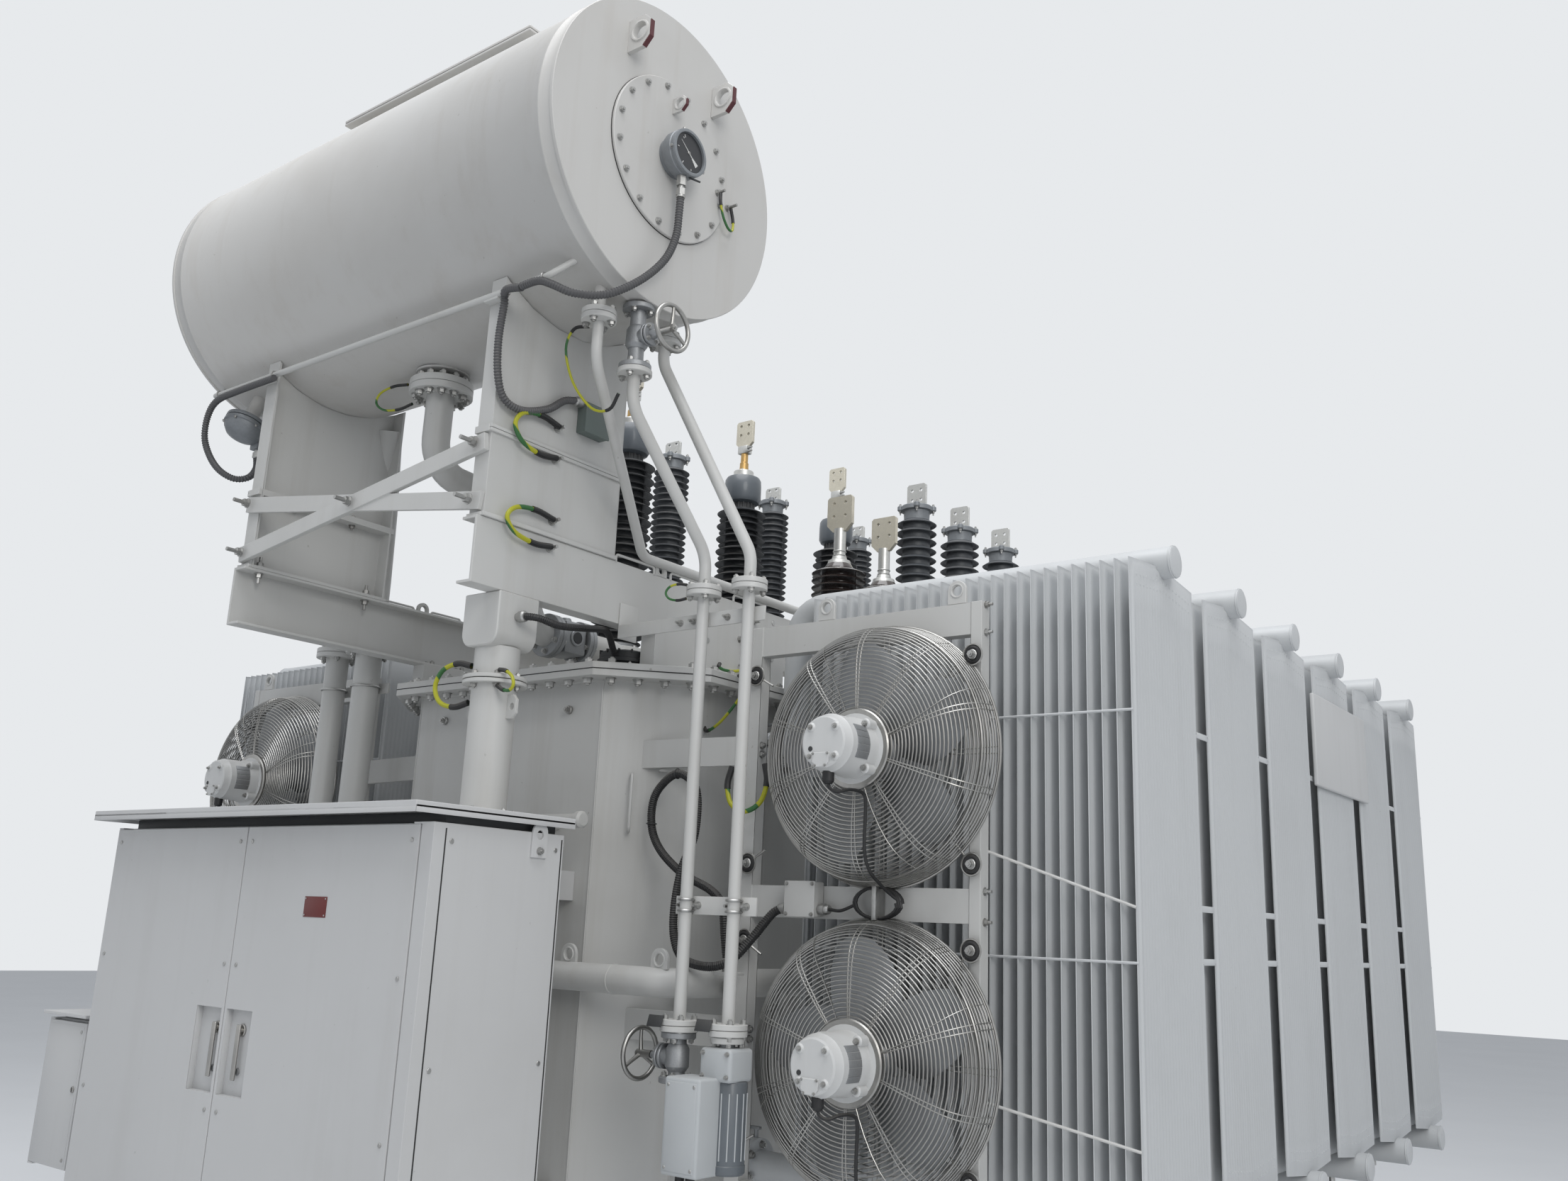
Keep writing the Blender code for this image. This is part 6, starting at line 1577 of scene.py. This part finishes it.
def cabinetDoor(side):
  s = doorSizes
  left = side == "left"
  build = Build(f"cabinetDoor{side.title()}", body=f"cabinet_door_{side}")
  x0 = s.left if left else s.split + s.gap / 2
  x1 = s.split - s.gap / 2 if left else s.right
  z0, z1 = s.low, s.high
  front, back = s.front, s.back
  low, high = s.pocket
  wide = s.pocketWidth
  # the skin with the pocket's window at the meeting edge, and the pocket's walls behind it
  if left:
    window = [(x1 - wide, low), (x1 - 0.012, low), (x1 - 0.012, high), (x1 - wide, high)]
  else:
    window = [(x0 + 0.012, low), (x0 + wide, low), (x0 + wide, high), (x0 + 0.012, high)]
  sheet = 0.003
  skin = [(x0, z0), (x1, z0), (x1, z1), (x0, z1)]
  build.plate(skin, "XZ", front, front + sheet, "cabinet", [window], 0.0012)
  build.block((x0 + 0.002, back - 0.004, z0 + 0.002), (x1 - 0.002, back, z1 - 0.002), "cabinet", 0.001)
  for a, b in (((x0, z0), (x0 + 0.002, z1)), ((x1 - 0.002, z0), (x1, z1)), ((x0, z0), (x1, z0 + 0.002)),
      ((x0, z1 - 0.002), (x1, z1))):
    build.block((a[0], front + 0.001, a[1]), (b[0], back - 0.001, b[1]), "cabinet", 0.0008)
  wx0, wx1 = window[0][0], window[1][0]
  deep = front + s.pocketDepth
  build.block((wx0 - 0.003, deep, low - 0.003), (wx1 + 0.003, deep + 0.002, high + 0.003), "cabinet", 0.0006)
  for a, b in (((wx0 - 0.003, low), (wx0, high)), ((wx1, low), (wx1 + 0.003, high)),
      ((wx0, low - 0.003), (wx1, low)), ((wx0, high), (wx1, high + 0.003))):
    build.block((a[0], front + 0.0004, a[1]), (b[0], deep + 0.001, b[1]), "cabinet", 0.0005)
  # lever handle: a boss with a lever and a lock barrel below
  hx = -0.106 if left else 0.03
  build.disc((hx, deep - 0.003, 1.285), axisY, 0.019, 0.007, "handle", 0.002, 24)
  build.block((hx - 0.01, front + 0.003, 1.14), (hx + 0.01, front + 0.011, 1.302), "handle", 0.004, segments=3)
  build.tube([(hx, deep - 0.002, 1.285), (hx, front + 0.008, 1.285)], 0.0085, "handle", 16)
  build.disc((hx, deep - 0.002, 1.165), axisY, 0.011, 0.006, "casting", 0.001, 20)
  build.block((hx - 0.0015, deep - 0.0056, 1.158), (hx + 0.0015, deep - 0.0044, 1.172), "cap", 0)
  # small screws along the edges, and the red plate on the right door
  for z in (z0 + 0.045, z0 + 0.42, z0 + 0.85, z1 - 0.045):
    for x in (x0 + 0.03, x1 - 0.03):
      build.disc((x, front - 0.0015, z), axisY, 0.0065, 0.003, "zinc", 0.001, 12)
  if not left:
    build.block((0.3, front - 0.0016, 1.63), (0.41, front, 1.69), "red", 0.0005)
    for x in (0.306, 0.404):
      for z in (1.636, 1.684):
        build.disc((x, front - 0.0024, z), axisY, 0.0026, 0.0016, "zinc", 0.0005, 8)
  build.done(f"cabinet_door_{side}")


cabinetDoor("left")
cabinetDoor("right")

# fixed parts of the cabinet
build = Build("cabinetDetails")
# screws on the right side panel, its raised edge and the panel line
for y, z in ((-3.049, 1.855), (-2.648, 1.857), (-3.049, 1.24), (-2.648, 1.24), (-3.049, 0.67), (-2.648, 0.67)):
  build.disc((0.8662, y, z), axisX, 0.0075, 0.003, "zinc", 0.001, 12)
for y0, y1 in ((-3.074, -3.07), (-2.626, -2.622)):
  build.block((0.8646, y0, 0.64), (0.8662, y1, 1.89), "gasket", 0)
for z in (0.66, 1.25, 1.86):
  build.disc((0.835, -3.0795, z), axisY, 0.0065, 0.003, "zinc", 0.001, 12)
# lifting lugs on the sides just below the roof
for side in (-1, 1):
  for y in (-2.95, -2.72):
    x = side * 0.865
    low, high = sorted((x, x + side * 0.008))
    outline = circlePoints((y, 1.905), 0.03, 12, 0.0, pi)
    outline += [(y - 0.03, 1.83), (y + 0.03, 1.83)]
    if y > -2.9:
      build.plate(outline, "YZ", low, high, "cabinet", [circlePoints((y, 1.898), 0.014, 18)])
      build.bolts([(x + side * 0.008, y, 1.85)], (side, 0, 0), 0.016)
# a dark block that fills the gap below the roof: painted shadow of the gap
build.block((-0.845, -3.06, 1.9052), (0.845, -2.635, 1.9365), "cap", 0.002)
# folded lip of the roof
for low, high in (((-0.885, -3.2, 1.925), (0.885, -3.198, 1.945)),
    ((0.883, -3.2, 1.925), (0.885, -2.59, 1.945)), ((-0.885, -3.2, 1.925), (-0.883, -2.59, 1.945))):
  build.block(low, high, "cabinet", 0.0006)
# cable glands through the floor
for x in (0.1, 0.22, 0.34, 0.46, 0.58, 0.7):
  profile = [(0, 0.045), (0.014, 0.045), (0.022, 0.036), (0.022, 0.012), (0.018, 0.01), (0.018, 0), (0, 0)]
  build.lathe(profile, (x, -2.9, 0.62), "cap", faceDown, 14)
# bolts of the four arms to the tank
for x in (-0.4, 0.4):
  for z in (0.7, 1.72):
    build.bolts([(x + dx, -2.1443, z + 0.072) for dx in (-0.02, 0.02)], faceFront, 0.018)
build.done()

# the side box's door
build = Build("sideBoxDoor", body="side_box_door")
low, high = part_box("side_box_door")
build.block(low, high, "cabinet", 0.0025)
middle = (low.z + high.z) / 2
build.block((low.x + 0.012, low.y - 0.0008, low.z + 0.012), (high.x - 0.012, low.y + 0.001, high.z - 0.012),
  "cabinet", 0.0005)
build.disc((high.x - 0.028, low.y - 0.0028, middle + 0.02), axisY, 0.011, 0.005, "handle", 0.0015, 20)
build.block((high.x - 0.0295, low.y - 0.0062, middle + 0.012), (high.x - 0.0265, low.y - 0.005, middle + 0.028),
  "cap", 0)
for z in (low.z + 0.03, high.z - 0.03):
  build.disc((high.x - 0.028, low.y - 0.002, z), axisY, 0.006, 0.003, "zinc", 0.001, 12)
build.done("side_box_door")

print("cabinet done")


# Bushings: a turret or box, stacked sheds, a cap and a terminal with four holes

bushingSizes = {
  "hv": Sizes(shed=0.127, core=0.08, foot=0.3, pitch=0.034, droop=0.012, look="shedDark", plate=(0.108, 0.15),
    drop=0.51),
  "mid": Sizes(shed=0.09, core=0.06, foot=0.16, pitch=0.033, droop=0.007, look="shedGrey", plate=(0.1, 0.083),
    drop=0.162),
  "lv": Sizes(shed=0.126, core=0.08, foot=0.15, pitch=0.034, droop=0.01, look="shedBrown", plate=(0.139, 0.172),
    drop=0.37),
  "end": Sizes(shed=0.102, core=0.07, foot=0.15, pitch=0.047, droop=0.01, look="shedGrey", plate=(0.112, 0.125),
    drop=0.211),
}
coverTop = 2.5506


def shedMesh(outer, inner, droop):
  sides = 40
  profile = [(inner, 0.01), (inner + (outer - inner) * 0.45, 0.003), (outer - 0.004, 0.003 - droop),
    (outer, -droop)]
  profile += [(outer - 0.003, -droop - 0.003), (inner + (outer - inner) * 0.45, -0.005), (inner, -0.008)]
  verts = [(r * cos(tau * i / sides), r * sin(tau * i / sides), z) for r, z in profile for i in range(sides)]
  count = len(profile)
  faces = []
  for k in range(count):
    a, b = k * sides, (k + 1) % count * sides
    faces += [(a + i, b + i, b + (i + 1) % sides, a + (i + 1) % sides) for i in range(sides)]
  return plainMesh("shed", verts, faces)


def terminal(build, x, y, top, size, thick, look, taper):
  # a flat plate with four holes, its lower corners cut back towards the stem
  half, low = size[0] / 2, top - size[1]
  cut = min(half * 0.5, 0.034) if taper else 0.004
  outline = [(x + half, low + cut), (x + half, top - 0.01), (x + half - 0.01, top), (x - half + 0.01, top)]
  outline += [(x - half, top - 0.01), (x - half, low + cut), (x - half + cut, low), (x + half - cut, low)]
  reach = size[0] * 0.23
  middle = top - size[0] * 0.47 if taper else low + size[1] * 0.52
  holes = [circlePoints((x + dx, middle + dz), 0.0085, 14) for dx in (-reach, reach) for dz in (-reach, reach)]
  build.plate(outline, "XZ", y - thick / 2, y + thick / 2, look, holes, 0.001)


def bushing(build, kind, x, y, top):
  s = bushingSizes[kind]
  core, low = s.core, coverTop + s.foot + 0.03
  plateLow, bodyTop = top - s.plate[1], top - s.drop
  build.tube([(x, y, low - 0.02), (x, y, bodyTop + 0.012)], core, s.look, 32)
  count = int((bodyTop - low - 0.02) / s.pitch) + 1
  ring = grown("stack", shedMesh(s.shed, core * 0.96, s.droop), s.look, Count=count, Step=(0.0, 0.0, -s.pitch),
    Shrink=0.1 if kind == "hv" else 0.0)
  build.mesh(ring, s.look, Matrix.Translation((x, y, bodyTop)))
  foot = [(0, low + 0.004), (core * 1.2, low + 0.004), (core * 1.3, low - 0.004), (core * 1.3, low - 0.022),
    (core * 1.6, low - 0.024)]
  build.lathe([*foot, (core * 1.6, low - 0.04), (0, low - 0.04)], (x, y, 0), "casting", sides=32)
  build.boltRing((x, y, low - 0.024), core * 1.45, 8, axisZ, 0.014)
  if kind == "hv":
    # dark neck, round grey cap, bright ring, brass stem and its clamp
    cap = bodyTop + 0.194
    build.lathe([(0, bodyTop + 0.05), (0.06, bodyTop + 0.05), (0.064, bodyTop), (0, bodyTop)], (x, y, 0), "cap",
      sides=32)
    for i in range(16):
      angle = tau * i / 16
      spot = Vector((x + 0.062 * cos(angle), y + 0.062 * sin(angle), bodyTop))
      build.tube([spot + upBy(0.006), spot + upBy(0.046)], 0.005, "cap", 6)
    dome = [(0, cap), (0.068, cap), (0.086, cap - 0.006), (0.094, cap - 0.02), (0.096, cap - 0.05),
      (0.096, bodyTop + 0.072)]
    build.lathe([*dome, (0.086, bodyTop + 0.054), (0.062, bodyTop + 0.044), (0, bodyTop + 0.044)], (x, y, 0),
      "capGrey", sides=44)
    build.lathe([(0, cap + 0.034), (0.05, cap + 0.034), (0.053, cap + 0.03), (0.053, cap - 0.002),
      (0, cap - 0.002)], (x, y, 0), "alloy", sides=32)
    build.boltRing((x, y, cap + 0.033), 0.036, 4, axisZ, 0.01, 0.5)
    stem = [(0, plateLow - 0.002), (0.019, plateLow - 0.002), (0.019, cap + 0.085), (0.023, cap + 0.08),
      (0.023, cap + 0.06), (0.026, cap + 0.03)]
    build.lathe([*stem, (0, cap + 0.03)], (x, y, 0), "brass", sides=20)
    build.block((x - 0.032, y - 0.022, plateLow - 0.034), (x + 0.032, y + 0.022, plateLow + 0.01), "alloy",
      0.005)
    build.bolts([(x + 0.032, y - 0.012, plateLow - z) for z in (0.004, 0.024)], axisX, 0.015, thread=1.0)
    terminal(build, x, y, top, s.plate, 0.018, "tinned", True)
  elif kind == "lv":
    # bright cone and stem with a collar
    cone = [(0, bodyTop + 0.075), (0.033, bodyTop + 0.075), (0.036, bodyTop + 0.062), (0.052, bodyTop + 0.054),
      (0.056, bodyTop + 0.036), (0, bodyTop + 0.036)]
    build.lathe(cone, (x, y, 0), "alloy", sides=32)
    build.lathe([(0, bodyTop + 0.04), (0.056, bodyTop + 0.038), (0.07, bodyTop + 0.016),
      (0.074, bodyTop + 0.004), (0, bodyTop + 0.004)], (x, y, 0), s.look, sides=32)
    build.tube([(x, y, bodyTop + 0.07), (x, y, plateLow + 0.012)], 0.028, "alloy", 28)
    for z in (0.08, 0.1):
      build.hoop((x, y, bodyTop + z), axisZ, 0.029, 0.003, "alloy", 28, 6)
    terminal(build, x, y, top, s.plate, 0.02, "tinned", True)
  else:
    # flat cap with four ears and bolts over a short collar
    cap = plateLow + 0.002
    wide = s.shed * 0.76
    low = bodyTop + 0.01
    head = [(0, cap), (wide, cap), (wide + 0.004, cap - 0.005), (wide + 0.004, cap - 0.024),
      (wide * 0.86, cap - 0.028), (wide * 0.82, low), (0, low)]
    build.lathe(head, (x, y, 0), "gauge", sides=32)
    for i in range(4):
      angle = tau * (i + 0.35) / 4
      spot = Vector((x + cos(angle) * (wide + 0.006), y + sin(angle) * (wide + 0.006), cap - 0.01))
      build.disc(spot, axisZ, 0.015, 0.026, "gauge", 0.004, 14)
      build.bolts([spot + upBy(0.013)], axisZ, 0.013)
      build.bolts([spot - upBy(0.013)], faceDown, 0.013, thread=0.8)
    build.disc((x, y, cap + 0.004), axisZ, wide * 0.55, 0.012, "alloy", 0.003, 24)
    terminal(build, x, y, top, s.plate, 0.012, "alloy", False)


def turret(build, x, y, radius, height, finish="paint"):
  build.tube([(x, y, coverTop), (x, y, coverTop + height - 0.004)], radius - 0.026, finish, 40)
  for z, face in ((coverTop + 0.011, 1), (coverTop + height - 0.011, -1)):
    build.disc((x, y, z), axisZ, radius, 0.021, finish, 0.002, 48)
    build.boltRing((x, y, z + face * 0.0105), radius - 0.013, 12, axisZ, 0.014, facing=(0, 0, face))


for kind, radius in (("hv", 0.17), ("mid", 0.13)):
  for number in (1, 2, 3):
    node = f"{kind}_bushing_{number}"
    low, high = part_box(node)
    x, y = (low.x + high.x) / 2, (low.y + high.y) / 2
    build = Build(f"{kind}Bushing{number}")
    turret(build, x, y, radius, bushingSizes[kind].foot)
    bushing(build, kind, x, y, high.z)
    build.done(node)
rowPlaces = {"lv": (-0.63, -0.25), "end": (0.03, 0.47, 0.93)}
for kind, places in rowPlaces.items():
  node = f"{kind}_bushings"
  low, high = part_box(node)
  build = Build(f"{kind}BushingRow")
  x = (low.x + high.x) / 2
  build.block((low.x, low.y, coverTop), (high.x, high.y, coverTop + 0.016), "paint", 0.002)
  build.block((low.x + 0.022, low.y + 0.022, coverTop), (high.x - 0.022, high.y - 0.022, coverTop + 0.15),
    "paint", 0.004)
  build.block((low.x, low.y, coverTop + 0.146), (high.x, high.y, coverTop + 0.16), "paint", 0.002)
  count = round((high.y - low.y) / 0.11)
  for i in range(count):
    y = low.y + (i + 0.5) * (high.y - low.y) / count
    build.bolts([(edge, y, coverTop + 0.016) for edge in (low.x + 0.011, high.x - 0.011)], axisZ, 0.013)
  for y in places:
    bushing(build, kind, x, y, high.z)
  build.done(node)
print("bushings done")


# Small fittings on the cover: lifting lugs, blanked openings and pockets with red caps

build = Build("coverFittings")
for x in (-0.7, 0.7):
  for y in (-0.95, 1.45):
    eyeLug(build, (y, coverTop - 0.004, x), "YZ", 0.12, 0.11, 0.026, 0.024)
for x, y, r in ((0.05, 0.2, 0.16), (0.05, -0.95, 0.12), (0.1, 1.55, 0.14)):
  build.disc((x, y, coverTop + 0.01), axisZ, r, 0.02, "tank", 0.002, 40)
  build.disc((x, y, coverTop + 0.027), axisZ, r, 0.014, "tank", 0.002, 40)
  build.boltRing((x, y, coverTop + 0.034), r - 0.016, 12, axisZ, 0.016)
for x, y in ((0.62, -0.86), (-0.1, 1.9)):
  build.tube([(x, y, coverTop - 0.004), (x, y, coverTop + 0.15)], 0.018, "zinc", 14)
  build.lathe([(0, 0.045), (0.02, 0.043), (0.024, 0.034), (0.024, 0), (0, 0)], (x, y, coverTop + 0.135),
    "redCap", sides=20)
build.done()


# Bare board fixed to two of the radiators

boardSizes = Sizes(low=(2.386, -0.03, 2.292), high=(2.404, 0.735, 2.664))

build = Build("bareBoard")
build.block(boardSizes.low, boardSizes.high, "cabinet", 0.006, segments=3)
build.done()

print("fittings done")


# Camera, light and floor

cameraSizes = Sizes(place=(3.935, -5.57, 1.65), azimuth=37.392, tilt=14.158, roll=2.413, lens=30.88)

s = cameraSizes
data = bpy.data.cameras.new("viewCamera")
data.lens = s.lens
data.sensor_width = 36
made = addObject("viewCamera", data)
turn = Matrix.Rotation(radians(s.azimuth), 4, "Z") @ Matrix.Rotation(radians(90 + s.tilt), 4, "X")
made.matrix_world = Matrix.Translation(s.place) @ turn @ Matrix.Rotation(radians(s.roll), 4, "Z")
bpy.context.scene.camera = made


def softLight(name, place, target, size, power, colour):
  data = bpy.data.lights.new(name, "AREA")
  data.shape = "DISK"
  data.size = size
  data.energy = power
  data.color = colour
  made = addObject(name, data)
  aim = (Vector(target) - Vector(place)).to_track_quat("-Z", "Y").to_matrix().to_4x4()
  made.matrix_world = Matrix.Translation(place) @ aim


floorReach = 30

world = bpy.data.worlds.new("paleStudio")
bpy.context.scene.world = world
world.use_nodes = True
tree = world.node_tree
tree.nodes.clear()
kinds = ("LightPath", "Background", "Background", "MixShader", "OutputWorld")
rays, glow, pale, mix, end = [tree.nodes.new(f"ShaderNode{kind}") for kind in kinds]
for node, colour, power in ((pale, (0.8, 0.82, 0.84, 1), 1.0), (glow, (0.86, 0.9, 0.96, 1), 0.44)):
  node.inputs[0].default_value = colour
  node.inputs[1].default_value = power
seen = Shade(tree, rays.outputs["Is Camera Ray"])
for kind in ("Is Glossy Ray", "Is Transmission Ray"):
  seen = seen.maths("MAXIMUM", Shade(tree, rays.outputs[kind]))
for place, socket in enumerate((seen.socket, glow.outputs[0], pale.outputs[0])):
  tree.links.new(socket, mix.inputs[place])
tree.links.new(mix.outputs[0], end.inputs[0])
softLight("skyLight", (1.5, -4.0, 11.0), (0.3, -1.0, 1.5), 9.0, 760, (0.97, 0.98, 1.0))
softLight("sideLight", (9.5, -7.5, 6.5), (0.8, -1.0, 2.0), 5.0, 310, (1.0, 0.985, 0.96))
corners = [(u * floorReach, v * floorReach, -0.001) for u, v in ((-1, -1), (1, -1), (1, 1), (-1, 1))]
mesh = plainMesh("floor", corners, [(0, 1, 2, 3)])
floor = addObject("floor", mesh)
look = Finish("paleFloor")
look.set(colour=look.mix(look.noise(0.8, 5.0), (0.78, 0.79, 0.8), (0.84, 0.85, 0.86)), rough=0.9)
mesh.materials.append(look.material)

bpy.context.scene.view_settings.view_transform = "Standard"
